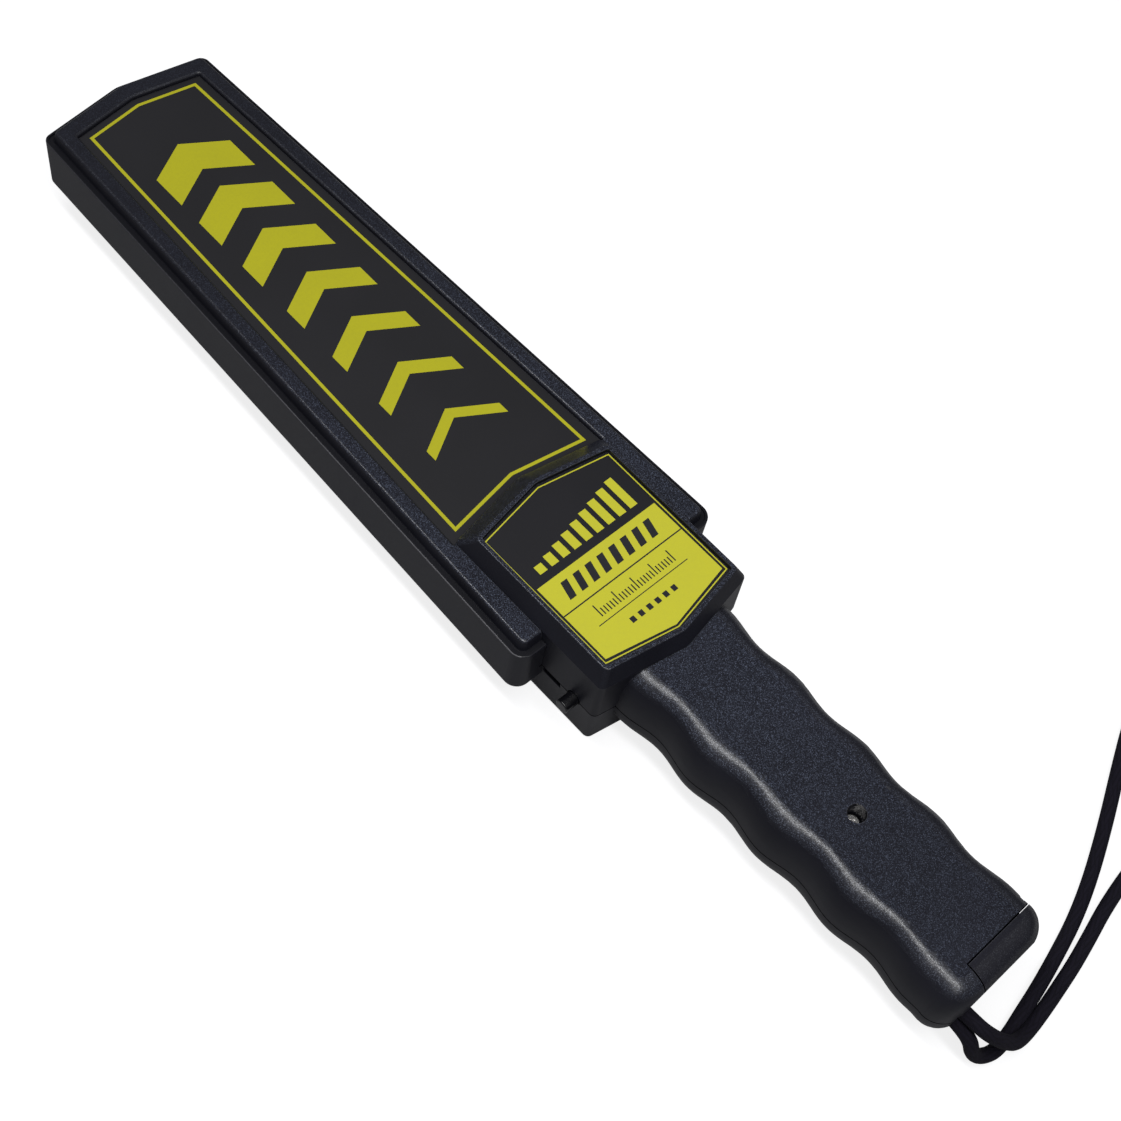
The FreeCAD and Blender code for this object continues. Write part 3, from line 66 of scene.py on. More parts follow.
def at(distance: float) -> float:
    """X place, in metres, of a distance from the tip in millimetres."""
    return (distance - HALF_LENGTH) * MM


def opaque(colour: Colour) -> tuple[float, float, float, float]:
    """Colour with full cover."""
    return (*colour, 1.0)


def shade(colour: Colour, share: float) -> Colour:
    """Colour made darker or lighter."""
    return tuple(part * share for part in colour)


# Node trees


class Value:
    """A number's socket in a node tree, on which sums are written as plain Python."""

    def __init__(self, tree: "Tree", socket: bpy.types.NodeSocket) -> None:
        """Wrap an output socket of a tree that carries a number."""
        self.tree = tree
        self.socket = socket

    def _op(self, name: str, *others: "Value | float") -> "Value":
        """Add a Math node that has this value first, then the others."""
        return self.tree.math(name, self, *others)

    def __add__(self, other: "Value | float") -> "Value":
        """Sum."""
        return self._op("ADD", other)

    __radd__ = __add__

    def __sub__(self, other: "Value | float") -> "Value":
        """Difference."""
        return self._op("SUBTRACT", other)

    def __rsub__(self, other: float) -> "Value":
        """Difference with this value second."""
        return self.tree.math("SUBTRACT", other, self)

    def __mul__(self, other: "Value | float") -> "Value":
        """Product."""
        return self._op("MULTIPLY", other)

    __rmul__ = __mul__

    def __truediv__(self, other: "Value | float") -> "Value":
        """Quotient."""
        return self._op("DIVIDE", other)

    def __gt__(self, other: "Value | float") -> "Value":
        """One where this value is the greater."""
        return self._op("GREATER_THAN", other)

    def __lt__(self, other: "Value | float") -> "Value":
        """One where this value is the smaller."""
        return self._op("LESS_THAN", other)

    def absolute(self) -> "Value":
        """Size without its sign."""
        return self._op("ABSOLUTE")

    def fraction(self) -> "Value":
        """Part after the point."""
        return self._op("FRACT")

    def power(self, exponent: float) -> "Value":
        """Power."""
        return self._op("POWER", exponent)

    def modulo(self, step: float) -> "Value":
        """Rest after whole steps, never negative."""
        return self._op("FLOORED_MODULO", step)

    def floor(self) -> "Value":
        """Whole number below."""
        return self._op("FLOOR")

    def sine(self) -> "Value":
        """Sine."""
        return self._op("SINE")

    def least(self, other: "Value | float") -> "Value":
        """Smaller of two."""
        return self._op("MINIMUM", other)

    def most(self, other: "Value | float") -> "Value":
        """Greater of two."""
        return self._op("MAXIMUM", other)

    def drift(self, base: float, share: float) -> "Value":
        """Number that strays from a base by a share of this noise, which is about one half."""
        return base + (self - 0.5) * share

    def ramp(self, low: float, high: float) -> "Value":
        """Smooth step from 0 at low to 1 at high.

        Args:
            low: value that gives 0.
            high: value that gives 1.

        Returns:
            The step.
        """
        node = self.tree.add(
            "ShaderNodeMapRange",
            {"interpolation_type": "SMOOTHSTEP"},
            {0: self, 1: low, 2: high, 3: 0.0, 4: 1.0},
        )
        return Value(self.tree, node.outputs[0])


class Tree:
    """Node tree of a material or of the world, and the few ways in which nodes are added to it."""

    # Colour of the painted shade in the seams
    SEAM_SHADE_COLOUR: Colour = (0.0008, 0.0008, 0.001)

    def __init__(self, owner: bpy.types.Material | bpy.types.World) -> None:
        """Empty an owner's tree.

        Args:
            owner: the material or the world.
        """
        owner.use_nodes = True
        self.owner = owner
        self.nodes = owner.node_tree.nodes
        self.links = owner.node_tree.links
        self.nodes.clear()

    @classmethod
    def of_material(cls, name: str) -> "Tree":
        """Empty tree of a new material."""
        return cls(bpy.data.materials.new(name))

    def add(
        self, kind: str, settings: dict | None = None, sockets: dict | None = None
    ) -> bpy.types.Node:
        """Add any node.

        Args:
            kind: the node's type name.
            settings: properties that are set before the sockets.
            sockets: values or links of its inputs, by name or place.

        Returns:
            The new node.
        """
        node = self.nodes.new(kind)
        for key, value in (settings or {}).items():
            setattr(node, key, value)
        for key, value in (sockets or {}).items():
            if isinstance(value, Value):
                self.links.new(value.socket, node.inputs[key])
            elif isinstance(value, bpy.types.NodeSocket):
                self.links.new(value, node.inputs[key])
            else:
                node.inputs[key].default_value = value
        return node

    def math(self, operation: str, *operands: Value | float) -> Value:
        """Add a Math node on numbers or values, in order, and give its result."""
        node = self.add("ShaderNodeMath", {"operation": operation}, dict(enumerate(operands)))
        return Value(self, node.outputs[0])

    def mix(self, factor: Value | float, one: object, two: object) -> bpy.types.NodeSocket:
        """Lay one colour over another.

        Args:
            factor: how much of the second shows.
            one: first colour, as a socket or four numbers.
            two: second colour.

        Returns:
            The mixed colour.
        """
        node = self.add(
            "ShaderNodeMix",
            {"data_type": "RGBA", "blend_type": "MIX", "clamp_factor": True},
            {0: factor, 6: one, 7: two},
        )
        return node.outputs[2]

    def split(self, vector: bpy.types.NodeSocket) -> tuple[Value, Value, Value]:
        """X, Y and Z of a vector's socket."""
        parts = self.add("ShaderNodeSeparateXYZ", None, {0: vector}).outputs
        return tuple(Value(self, part) for part in parts)

    def place(self) -> tuple[bpy.types.NodeSocket, Value, Value, Value]:
        """Object coordinates, as a vector and as its X, Y and Z."""
        vector = self.add("ShaderNodeTexCoord").outputs["Object"]
        return vector, *self.split(vector)

    def noise(
        self, vector: bpy.types.NodeSocket, size: float, detail: float = 2.0, rough: float = 0.5
    ) -> Value:
        """Noise of a given size.

        Args:
            vector: coordinates.
            size: distance between features in metres.
            detail: octaves.
            rough: strength of the finer octaves.

        Returns:
            The noise, about one half on average.
        """
        node = self.add(
            "ShaderNodeTexNoise",
            {"noise_dimensions": "3D"},
            {"Vector": vector, "Scale": 1 / size, "Detail": detail, "Roughness": rough},
        )
        return Value(self, node.outputs[0])

    def cells(self, vector: bpy.types.NodeSocket, size: float) -> bpy.types.Node:
        """Voronoi node of scattered cells, each with its own random colour, a size in metres apart."""
        return self.add("ShaderNodeTexVoronoi", {"feature": "F1"}, {"Vector": vector, "Scale": 1 / size})

    def bump(self, height: Value, depth: float) -> bpy.types.NodeSocket:
        """Normal of a relief, where a height of one stands for a depth in metres."""
        sockets = {"Height": height, "Distance": depth, "Strength": 1.0}
        return self.add("ShaderNodeBump", None, sockets).outputs[0]

    def finish(self, sockets: dict, seam_shade: Value | None = None) -> bpy.types.Material:
        """Close the tree with a Principled shader, and a flat dark one as painted shade in the seams.

        Args:
            sockets: values or links of the shader's inputs.
            seam_shade: where painted shade fills a seam, from 0 to 1.

        Returns:
            The material.
        """
        shader = self.add("ShaderNodeBsdfPrincipled", None, sockets)
        if seam_shade is not None:
            shade_shader = self.add("ShaderNodeBsdfPrincipled", None, {
                "Base Color": opaque(self.SEAM_SHADE_COLOUR),
                "Roughness": 1.0,
                "Specular IOR Level": 0.0,
            })
            layers = {0: seam_shade, 1: shader.outputs[0], 2: shade_shader.outputs[0]}
            shader = self.add("ShaderNodeMixShader", None, layers)
        self.add("ShaderNodeOutputMaterial", None, {0: shader.outputs[0]})
        return self.owner


# Finishes


@dataclass(frozen=True)
class Seams:
    """Where the housing's pieces meet, in metres, and the painted shade along them."""

    parting_z: float = 21.8 * MM
    parting_reach: float = 32.6 * MM
    cover_x: float = at(411.25)
    cover_y: float = -9.4 * MM
    parting_width: float = 0.26 * MM
    cover_width: float = 0.22 * MM

    def seam_shade(self, along: Value, across: Value, up: Value) -> Value:
        """Mask of the painted shade in the seams.

        Args:
            along: X place.
            across: Y place.
            up: Z place.

        Returns:
            One where a seam takes painted shade, zero elsewhere.
        """
        at_height = (up - self.parting_z).absolute() < self.parting_width
        parting = at_height * (across.absolute() < self.parting_reach)
        past_end = along > self.cover_x - self.cover_width
        in_cover = past_end * (across > self.cover_y - self.cover_width)
        line = (along - self.cover_x).absolute().least((across - self.cover_y).absolute())
        return (parting * (1 - in_cover)).most((line < self.cover_width) * in_cover)


@dataclass(frozen=True)
class HeadLipShading:
    """Painted highlight on the lip round the head's bead, and painted shade in the groove beside it."""

    zone: Span = (33.2 * MM, 35.0 * MM)
    end: float = at(262)
    half_width: float = 40.36 * MM
    taper: float = 0.03056
    width: float = 1.5 * MM
    slope: Span = (0.25, 0.45)
    slope_end: Span = (0.85, 0.97)
    floor_slope: Span = (0.9, 0.98)
    groove_shade_share: float = 0.7
    highlight_grain_lift: float = 0.3
    # Colours of the lip's painted highlight and of the groove's painted shade
    colour: Colour = (0.15, 0.148, 0.16)
    groove_shade_colour: Colour = (0.003, 0.003, 0.005)

    def masks(self, level: Value, along: Value, across: Value, up: Value) -> tuple[Value, Value]:
        """Where the painted highlight of the lip and the painted shade of the groove go.

        Args:
            level: upward part of the normal.
            along: X place.
            across: Y place.
            up: Z place.

        Returns:
            The mask of the lip's painted highlight and that of the groove's painted shade.
        """
        zone = (up > self.zone[0]) * (up < self.zone[1]) * (along < self.end)
        rim = across.absolute() > along * self.taper + self.half_width - self.width
        lip_shading = level.ramp(*self.slope) * (1 - level.ramp(*self.slope_end)) * zone * rim
        return lip_shading, level.ramp(*self.floor_slope) * zone * self.groove_shade_share


@dataclass(frozen=True)
class GrainedPlastic:
    """Spark-eroded black moulding with a dense fine grain, and painted glints on the faces that look up.

    A slope is a span of the upward part of the normal, which is 0 on a wall and 1 on top.
    """

    name: str
    colour: Colour = (0.0098, 0.0100, 0.0148)
    worn: Colour = (0.0165, 0.0172, 0.0255)
    worn_share: float = 0.4
    worn_span: Span = (0.35, 0.75)
    cloud_size: float = 24 * MM
    roughness: float = 0.21
    side_roughness: float = 0.42
    roughness_drift: float = 0.08
    specular: float = 0.2
    grain_size: float = 0.42 * MM
    grain_depth: float = 0.044 * MM
    side_share: float = 0.12
    top_slope: Span = (0.5, 0.85)
    # Below this height no glints are painted, and the face is rougher with less relief
    smooth_below: float = 35.2 * MM
    smooth_fade: float = 1.2 * MM
    # glint_*: painted highlights, bright grains laid into the base colour
    glint_colour: Colour = (0.17, 0.20, 0.285)
    glint_size: float = 0.27 * MM
    glint_share: float = 0.72
    glint_chance: Span = (0.5, 1.0)
    glint_radius: Span = (0.25, 0.6)
    fine_size: float = 0.62
    fine_share: float = 0.7
    # Painted light falloff: fewer glints towards the tip and the end, and on faces turned to +Y, away
    # from the lamp
    tip_light_fade: Span = (at(30), at(240))
    tip_light_share: float = 0.25
    end_light_fade: Span = (at(290), at(430))
    end_light_loss: float = 0.4
    turned_away_span: Span = (0.06, 0.4)
    turned_away_shade: float = 0.8
    # edge_*: painted highlight on the rounded edges of the raised faces
    edge_highlight_colour: Colour = (0.085, 0.085, 0.098)
    edge_radius: float = 0.45 * MM
    edge_samples: int = 4
    edge_bend: Span = (0.02, 0.22)
    edge_share: float = 0.35
    edge_highlight_drift: float = 0.5
    coat: float = 0.35
    coat_sparkle: float = 1.6
    coat_roughness: float = 0.33
    shoulder_slope: Span = (0.5, 0.7)
    shoulder_end: Span = (0.985, 0.998)
    lip_shading: HeadLipShading = HeadLipShading()
    seams: Seams = Seams()

    def glints(self, tree: Tree, vector: bpy.types.NodeSocket, size: float) -> Value:
        """Scattered painted glints of one size.

        Args:
            tree: the tree to add to.
            vector: coordinates.
            size: distance between grains in metres.

        Returns:
            Strength of the painted glints, from 0 to 1.
        """
        cells = tree.cells(vector, size)
        colour = tree.add("ShaderNodeSeparateColor", None, {0: cells.outputs["Color"]})
        chance = Value(tree, colour.outputs[0]).ramp(*self.glint_chance)
        return chance * (1 - Value(tree, cells.outputs["Distance"]).ramp(*self.glint_radius))

    def edge_highlight(self, tree: Tree, normal: bpy.types.NodeSocket, cloud: Value) -> Value:
        """Painted highlight on the rounded edges, where the rounded normal leaves the true one.

        Args:
            tree: the tree to add to.
            normal: the true normal.
            cloud: slow noise that the painted highlight follows.

        Returns:
            Share of the colour of the painted edge highlight.
        """
        bevel = tree.add("ShaderNodeBevel", {"samples": self.edge_samples}, {"Radius": self.edge_radius})
        both = {0: bevel.outputs[0], 1: normal}
        product = tree.add("ShaderNodeVectorMath", {"operation": "DOT_PRODUCT"}, both)
        bend = 1 - Value(tree, product.outputs[1])
        return bend.ramp(*self.edge_bend) * (cloud * self.edge_highlight_drift + self.edge_share)

    def build(self) -> bpy.types.Material:
        """Make the material.

        Returns:
            The material.
        """
        tree = Tree.of_material(self.name)
        vector, along, across, up = tree.place()
        normal = tree.add("ShaderNodeNewGeometry").outputs["True Normal"]
        _, sideways, level = tree.split(normal)
        grain = tree.noise(vector, self.grain_size, rough=0.6)
        cloud = tree.noise(vector, self.cloud_size, detail=3.0)

        raised = up.ramp(self.smooth_below, self.smooth_below + self.smooth_fade)
        top = level.ramp(*self.top_slope) * raised
        fine = self.glints(tree, vector, self.glint_size * self.fine_size) * self.fine_share
        glint = self.glints(tree, vector, self.glint_size).most(fine)
        # near, far and the turn to +Y paint the fall of light over the glints
        near = along.ramp(*self.tip_light_fade) * (1 - self.tip_light_share) + self.tip_light_share
        far = 1 - along.ramp(*self.end_light_fade) * self.end_light_loss
        seen = top * near * far * (1 - sideways.ramp(*self.turned_away_span) * self.turned_away_shade)
        shoulder = level.ramp(*self.shoulder_slope) * (1 - level.ramp(*self.shoulder_end))
        shoulder = shoulder * up.ramp(self.smooth_below - MM, self.smooth_below)
        lip_shading, groove_shade = self.lip_shading.masks(level, along, across, up)

        worn = cloud.ramp(*self.worn_span) * self.worn_share
        edge_highlight = self.edge_highlight(tree, normal, cloud) * (up > self.smooth_below)
        colour = tree.mix(worn, opaque(self.colour), opaque(self.worn))
        # Painted glints: bright grains on the raised faces that look up
        colour = tree.mix(glint * seen * self.glint_share, colour, opaque(self.glint_colour))
        # Painted highlight along the rounded edges
        colour = tree.mix(edge_highlight, colour, opaque(self.edge_highlight_colour))
        # Painted shade in the groove round the bead, then a painted highlight along its lip
        colour = tree.mix(groove_shade, colour, opaque(self.lip_shading.groove_shade_colour))
        colour = tree.mix(lip_shading * near * (grain + self.lip_shading.highlight_grain_lift), colour, opaque(self.lip_shading.colour))
        polish = top * (self.side_roughness - self.roughness)
        rough = cloud.drift(self.side_roughness, self.roughness_drift) - polish
        relief = grain * (top * (1 - self.side_share) + self.side_share)
        return tree.finish({
            "Base Color": colour,
            "Roughness": rough,
            "Normal": tree.bump(relief, self.grain_depth),
            "Specular IOR Level": self.specular,
            "Coat Weight": shoulder * (self.coat + glint * self.coat_sparkle),
            "Coat Roughness": self.coat_roughness,
        }, self.seams.seam_shade(along, across, up))


@dataclass(frozen=True)
class SatinFilm:
    """Black polycarbonate film with a very fine tooth."""

    name: str
    colour: Colour = (0.0125, 0.0122, 0.0145)
    haze: float = 1.7
    haze_share: float = 0.3
    haze_size: float = 35 * MM
    roughness: float = 0.42
    roughness_drift: float = 0.12
    specular: float = 0.36
    tooth: float = 0.45 * MM
    tooth_depth: float = 0.012 * MM

    def build(self) -> bpy.types.Material:
        """Make the material.

        Returns:
            The material.
        """
        tree = Tree.of_material(self.name)
        vector, *_ = tree.place()
        tooth = tree.noise(vector, self.tooth)
        haze = tree.noise(vector, self.haze_size).ramp(*CLOUD) * self.haze_share
        return tree.finish({
            "Base Color": tree.mix(haze, opaque(self.colour), opaque(shade(self.colour, self.haze))),
            "Roughness": tooth.drift(self.roughness, self.roughness_drift),
            "Normal": tree.bump(tooth, self.tooth_depth),
            "Specular IOR Level": self.specular,
        })


@dataclass(frozen=True)
class PrintInk:
    """Screen-printed ink: flat colour with the faint mottle of the mesh."""

    name: str
    colour: Colour
    deep: Colour
    roughness: float = 0.45
    roughness_drift: float = 0.1
    specular: float = 0.25
    mottle_size: float = 1.1 * MM
    mottle_span: Span = (0.35, 0.7)
    mottle_depth: float = 0.004 * MM
    cloud_size: float = 18 * MM
    share: float = 0.35

    def build(self) -> bpy.types.Material:
        """Make the material.

        Returns:
            The material.
        """
        tree = Tree.of_material(self.name)
        vector, *_ = tree.place()
        mottle = tree.noise(vector, self.mottle_size, detail=3.0, rough=0.6)
        cloud = tree.noise(vector, self.cloud_size)
        factor = mottle.ramp(*self.mottle_span) * self.share + cloud.ramp(*CLOUD) * self.share
        return tree.finish({
            "Base Color": tree.mix(factor, opaque(self.colour), opaque(self.deep)),
            "Roughness": mottle.drift(self.roughness, self.roughness_drift),
            "Normal": tree.bump(mottle, self.mottle_depth),
            "Specular IOR Level": self.specular,
        })


class Ink(Enum):
    """Inks of the two films."""

    HEAD_YELLOW = PrintInk("head yellow ink", (0.50, 0.48, 0.016), (0.45, 0.43, 0.018))
    BOX_YELLOW = PrintInk("box yellow ink", (0.61, 0.59, 0.036), (0.57, 0.55, 0.04))
    BLACK = PrintInk("black ink", (0.018, 0.018, 0.022), (0.026, 0.026, 0.03), 0.4)


@dataclass(frozen=True)
class Moulding:
    """Smooth moulded plastic of the smaller pieces."""

    name: str
    colour: Colour
    roughness: float = 0.35
    specular: float = 0.5
    roughness_drift: float = 0.1
    grain: float = 0.8 * MM
    depth: float = 0.004 * MM
    cloud_size: float = 9 * MM
    dark: float = 0.75
    dark_share: float = 0.4

    def build(self) -> bpy.types.Material:
        """Make the material.

        Returns:
            The material.
        """
        tree = Tree.of_material(self.name)
        vector, *_ = tree.place()
        grain = tree.noise(vector, self.grain, detail=3.0)
        cloud = tree.noise(vector, self.cloud_size).ramp(*CLOUD) * self.dark_share
        return tree.finish({
            "Base Color": tree.mix(cloud, opaque(self.colour), opaque(shade(self.colour, self.dark))),
            "Roughness": grain.drift(self.roughness, self.roughness_drift),
            "Normal": tree.bump(grain, self.depth),
            "Specular IOR Level": self.specular,
        })


@dataclass(frozen=True)
class Metal:
    """Plated or bare metal with fine tool marks and a little tarnish."""

    name: str
    colour: Colour
    tarnish: Colour
    roughness: float = 0.24
    roughness_drift: float = 0.2
    mark_size: float = 0.25 * MM
    mark_depth: float = 0.006 * MM
    cloud_size: float = 2.5 * MM
    tarnish_span: Span = (0.45, 0.8)
    tarnish_share: float = 0.6

    def build(self) -> bpy.types.Material:
        """Make the material.

        Returns:
            The material.
        """
        tree = Tree.of_material(self.name)
        vector, *_ = tree.place()
        marks = tree.noise(vector, self.mark_size, detail=3.0)
        cloud = tree.noise(vector, self.cloud_size, detail=3.0)
        tarnish = cloud.ramp(*self.tarnish_span) * self.tarnish_share
        return tree.finish({
            "Base Color": tree.mix(tarnish, opaque(self.colour), opaque(self.tarnish)),
            "Metallic": 1.0,
            "Roughness": cloud.drift(self.roughness, self.roughness_drift),
            "Normal": tree.bump(marks, self.mark_depth),
        })


@dataclass(frozen=True)
class CircuitLaminate:
    """Green board with lighter copper tracks under the mask."""

    name: str
    mask: Colour = (0.012, 0.11, 0.035)
    track: Colour = (0.03, 0.2, 0.07)
    pitch: float = 2.54 * MM
    half_track: float = 0.16
    patch: float = 9 * MM
    roughness: float = 0.3
    track_roughness: float = 0.08
    track_depth: float = 0.035 * MM

    def build(self) -> bpy.types.Material:
        """Make the material.

        Returns:
            The material.
        """
        tree = Tree.of_material(self.name)
        vector, along, across, _ = tree.place()
        lane = ((along / self.pitch).fraction() - 0.5).absolute() < self.half_track
        rung = ((across / self.pitch).fraction() - 0.5).absolute() < self.half_track
        choose = tree.noise(vector, self.patch, detail=0.0) > 0.5
        tracks = lane * choose + rung * (1 - choose)
        return tree.finish({
            "Base Color": tree.mix(tracks, opaque(self.mask), opaque(self.track)),
            "Roughness": self.roughness + tracks * self.track_roughness,
            "Normal": tree.bump(tracks, self.track_depth),
        })


@dataclass(frozen=True)
class Winding:
    """Layers of enamelled wire, each turn a fine line along the coil."""

    name: str
    colour: Colour = (0.5, 0.17, 0.06)
    pitch: float = 0.5 * MM
    depth: float = 0.12 * MM
    cloud_size: float = 4 * MM
    dark: float = 0.6
    metallic: float = 0.6
    roughness: float = 0.32
    roughness_drift: float = 0.1
    enamel: float = 0.4

    def build(self) -> bpy.types.Material:
        """Make the material.

        Returns:
            The material.
        """
        tree = Tree.of_material(self.name)
        vector, _, _, up = tree.place()
        turn = (up / self.pitch).fraction() - 0.5
        cloud = tree.noise(vector, self.cloud_size)
        return tree.finish({
            "Base Color": tree.mix(cloud, opaque(self.colour), opaque(shade(self.colour, self.dark))),
            "Metallic": self.metallic,
            "Roughness": cloud.drift(self.roughness, self.roughness_drift),
            "Normal": tree.bump(1 - turn * turn * 4, self.depth),
            "Coat Weight": self.enamel,
        })


@dataclass(frozen=True)
class Foam:
    """Open soft foam, with painted shade in its pores."""

    name: str
    colour: Colour = (0.06, 0.06, 0.065)
    pore: float = 0.9 * MM
    pore_depth: float = 0.3 * MM
    pore_shade: float = 0.5
    roughness: float = 0.95

    def build(self) -> bpy.types.Material:
        """Make the material.

        Returns:
            The material.
        """
        tree = Tree.of_material(self.name)
        vector, *_ = tree.place()
        pores = Value(tree, tree.cells(vector, self.pore).outputs["Distance"])
        # Pore pits darker: painted shade
        deep = shade(self.colour, self.pore_shade)
        return tree.finish({
            "Base Color": tree.mix(pores, opaque(deep), opaque(self.colour)),
            "Roughness": self.roughness,
            "Normal": tree.bump(pores, self.pore_depth),
        })


@dataclass(frozen=True)
class Braid:
    """Tight round braid of dark yarn, drawn in the cord's own UV map.

    Depths, in millimetres, and shares of the lighter colour are those of a strand's ridge, of its yarns
    and of the fuzz on top: painted highlight on the ridges and yarns, random tone in the fuzz.
    """

    name: str
    colour: Colour = (0.0038, 0.0032, 0.0068)
    # Lighter colour: painted highlight on strand ridges and yarns, and random tone in the fuzz
    light: Colour = (0.0095, 0.0080, 0.0165)
    carriers: int = 10
    pitch: float = 6.5 * MM
    yarns: int = 5
    yarn_lean: float = 0.4
    fuzz_size: float = 0.35 * MM
    depths: tuple[float, float, float] = (0.06, 0.01, 0.02)
    sheen_and_tone_shares: tuple[float, float, float] = (0.45, 0.1, 0.5)
    sheen_and_tone_span: Span = (0.15, 1.05)
    roughness: float = 0.78
    fuzz_roughness: float = 0.15
    specular: float = 0.2

    def weigh(self, layers: tuple[Value, ...], weights: tuple[float, ...]) -> Value:
        """Weighted sum of some values."""
        first, *others = (layer * weight for layer, weight in zip(layers, weights))
        return sum(others, first)

    def strand(self, along_it: Value, over_it: Value) -> tuple[Value, Value]:
        """Rounded ridge of one set of strands and the yarns in it.

        Args:
            along_it: count of this set's strands.
            over_it: count of the set that crosses it.

        Returns:
            The ridge and the yarns.
        """
        ridge = 1 - ((along_it.fraction() - 0.5) * 2).power(2.0)
        yarn = ((along_it * self.yarns + over_it * self.yarn_lean) * math.tau).sine()
        return ridge, yarn

    def build(self) -> bpy.types.Material:
        """Make the material.

        Returns:
            The material.
        """
        tree = Tree.of_material(self.name)
        around, along, _ = tree.split(tree.add("ShaderNodeUVMap", {"uv_map": "UVMap"}).outputs[0])
        turn = around * self.carriers
        climb = along / self.pitch
        left, right = turn + climb, turn - climb
        over = ((left * 0.5).floor() + (right * 0.5).floor()).modulo(2.0)
        ridge_left, yarn_left = self.strand(left, right)
        ridge_right, yarn_right = self.strand(right, left)
        ridge = ridge_left * over + ridge_right * (1 - over)
        yarn = yarn_left * (1 - over) + yarn_right * over
        vector, *_ = tree.place()
        fuzz = tree.noise(vector, self.fuzz_size, detail=3.0)
        # Lighter on strand ridges and yarns as painted highlight; the fuzz adds random tone
        sheen_and_tone = self.weigh((ridge, yarn, fuzz), self.sheen_and_tone_shares).ramp(*self.sheen_and_tone_span)
        return tree.finish({
            "Base Color": tree.mix(sheen_and_tone, opaque(self.colour), opaque(self.light)),
            "Roughness": self.roughness + fuzz * self.fuzz_roughness,
            "Normal": tree.bump(self.weigh((ridge, yarn, fuzz), self.depths), MM),
            "Specular IOR Level": self.specular,
        })


# Geometry helpers


def to_object(
    mesh: bmesh.types.BMesh, name: str, material: bpy.types.Material, smooth: bool = False
) -> bpy.types.Object:
    """Turn a bmesh into an object at the origin.

    Args:
        mesh: the shape, freed afterwards.
        name: the object's name.
        material: its finish.
        smooth: whether its faces are shaded smooth.

    Returns:
        The object.
    """
    data = bpy.data.meshes.new(name)
    for face in mesh.faces:
        face.smooth = smooth
    mesh.to_mesh(data)
    mesh.free()
    data.materials.append(material)
    thing = bpy.data.objects.new(name, data)
    bpy.context.scene.collection.objects.link(thing)
    return thing


def paint(node: str, material: bpy.types.Material) -> None:
    """Give a solid its finish.

    Args:
        node: the solid's name.
        material: the finish.
    """
    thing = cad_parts[node]
    if not thing.material_slots:
        thing.data.materials.append(material)
    for place in thing.material_slots:
        place.material = material


def close_up(mesh: bmesh.types.BMesh) -> None:
    """Merge doubles and turn every face outward."""
    bmesh.ops.remove_doubles(mesh, verts=mesh.verts, dist=SAME_PLACE)
    bmesh.ops.recalc_face_normals(mesh, faces=mesh.faces)


@dataclass(frozen=True)
class InkLayer:
    """One layer of ink, between two heights in millimetres."""

    low: float
    thick: float = 0.03

    @property
    def high(self) -> float:
        """Height of its top."""
        return self.low + self.thick

    def outline(self, mesh: bmesh.types.BMesh, points: list[Flat]) -> bmesh.types.BMFace:
        """Add a flat face at the layer's underside, from distances from the tip and Y, in millimetres."""
        return mesh.faces.new([mesh.verts.new((at(d), y * MM, self.low * MM)) for d, y in points])

    def thicken(self, mesh: bmesh.types.BMesh, faces: list[bmesh.types.BMFace]) -> None:
        """Give flat faces the layer's thickness.

        Args:
            mesh: the bmesh that holds them.
            faces: the faces.
        """
        raised = bmesh.ops.extrude_face_region(mesh, geom=faces)["geom"]
        moved = [v for v in raised if isinstance(v, bmesh.types.BMVert)]
        bmesh.ops.translate(mesh, verts=moved, vec=(0, 0, (self.high - self.low) * MM))

    def plate(self, mesh: bmesh.types.BMesh, points: list[Flat]) -> None:
        """Add a filled shape."""
        self.thicken(mesh, [self.outline(mesh, points)])

    def bar(self, mesh: bmesh.types.BMesh, near: float, far: float, left: float, right: float) -> None:
        """Add a rectangle, from near to far off the tip and from left to right in Y, in millimetres."""
        self.plate(mesh, [(near, left), (far, left), (far, right), (near, right)])

    def line(self, mesh: bmesh.types.BMesh, points: list[Flat], width: float) -> None:
        """Add a closed line, drawn inward from an outline.

        Args:
            mesh: the bmesh to add to.
            points: outer outline, as distance from the tip and Y, in millimetres.
            width: the line's width, in millimetres.
        """
        face = self.outline(mesh, points)
        mesh.normal_update()
        rim = bmesh.ops.inset_region(
            mesh, faces=[face], thickness=width * MM, use_boundary=True, use_even_offset=True)
        bmesh.ops.delete(mesh, geom=[face], context="FACES")
        self.thicken(mesh, rim["faces"])


@dataclass(frozen=True)
class FilmOutline:
    """Six corners of a film's line, with an apex at either end, in millimetres."""

    front_apex: float
    front: Flat
    rear: Flat
    rear_apex: float

    def corners(self) -> list[Flat]:
        """Corners in order.

        Returns:
            Distance from the tip and Y of each, from the front apex by the -Y side.
        """
        (front, front_half), (rear, rear_half) = self.front, self.rear
        return [
            (self.front_apex, 0), (front, -front_half), (rear, -rear_half),
            (self.rear_apex, 0), (rear, rear_half), (front, front_half),
        ]


@dataclass(frozen=True)
class MarkRow:
    """Like marks side by side across a film, in millimetres.

    They stand on a foot line, given as a distance from the tip, and reach from it towards the tip.
    """

    count: int
    first: float
    pitch: float
    half_width: float
    foot: float
    reach: float

    def places(self) -> list[tuple[int, float]]:
        """Number and Y place of each mark."""
        return [(i, self.first + self.pitch * i) for i in range(self.count)]


# Sub-assemblies


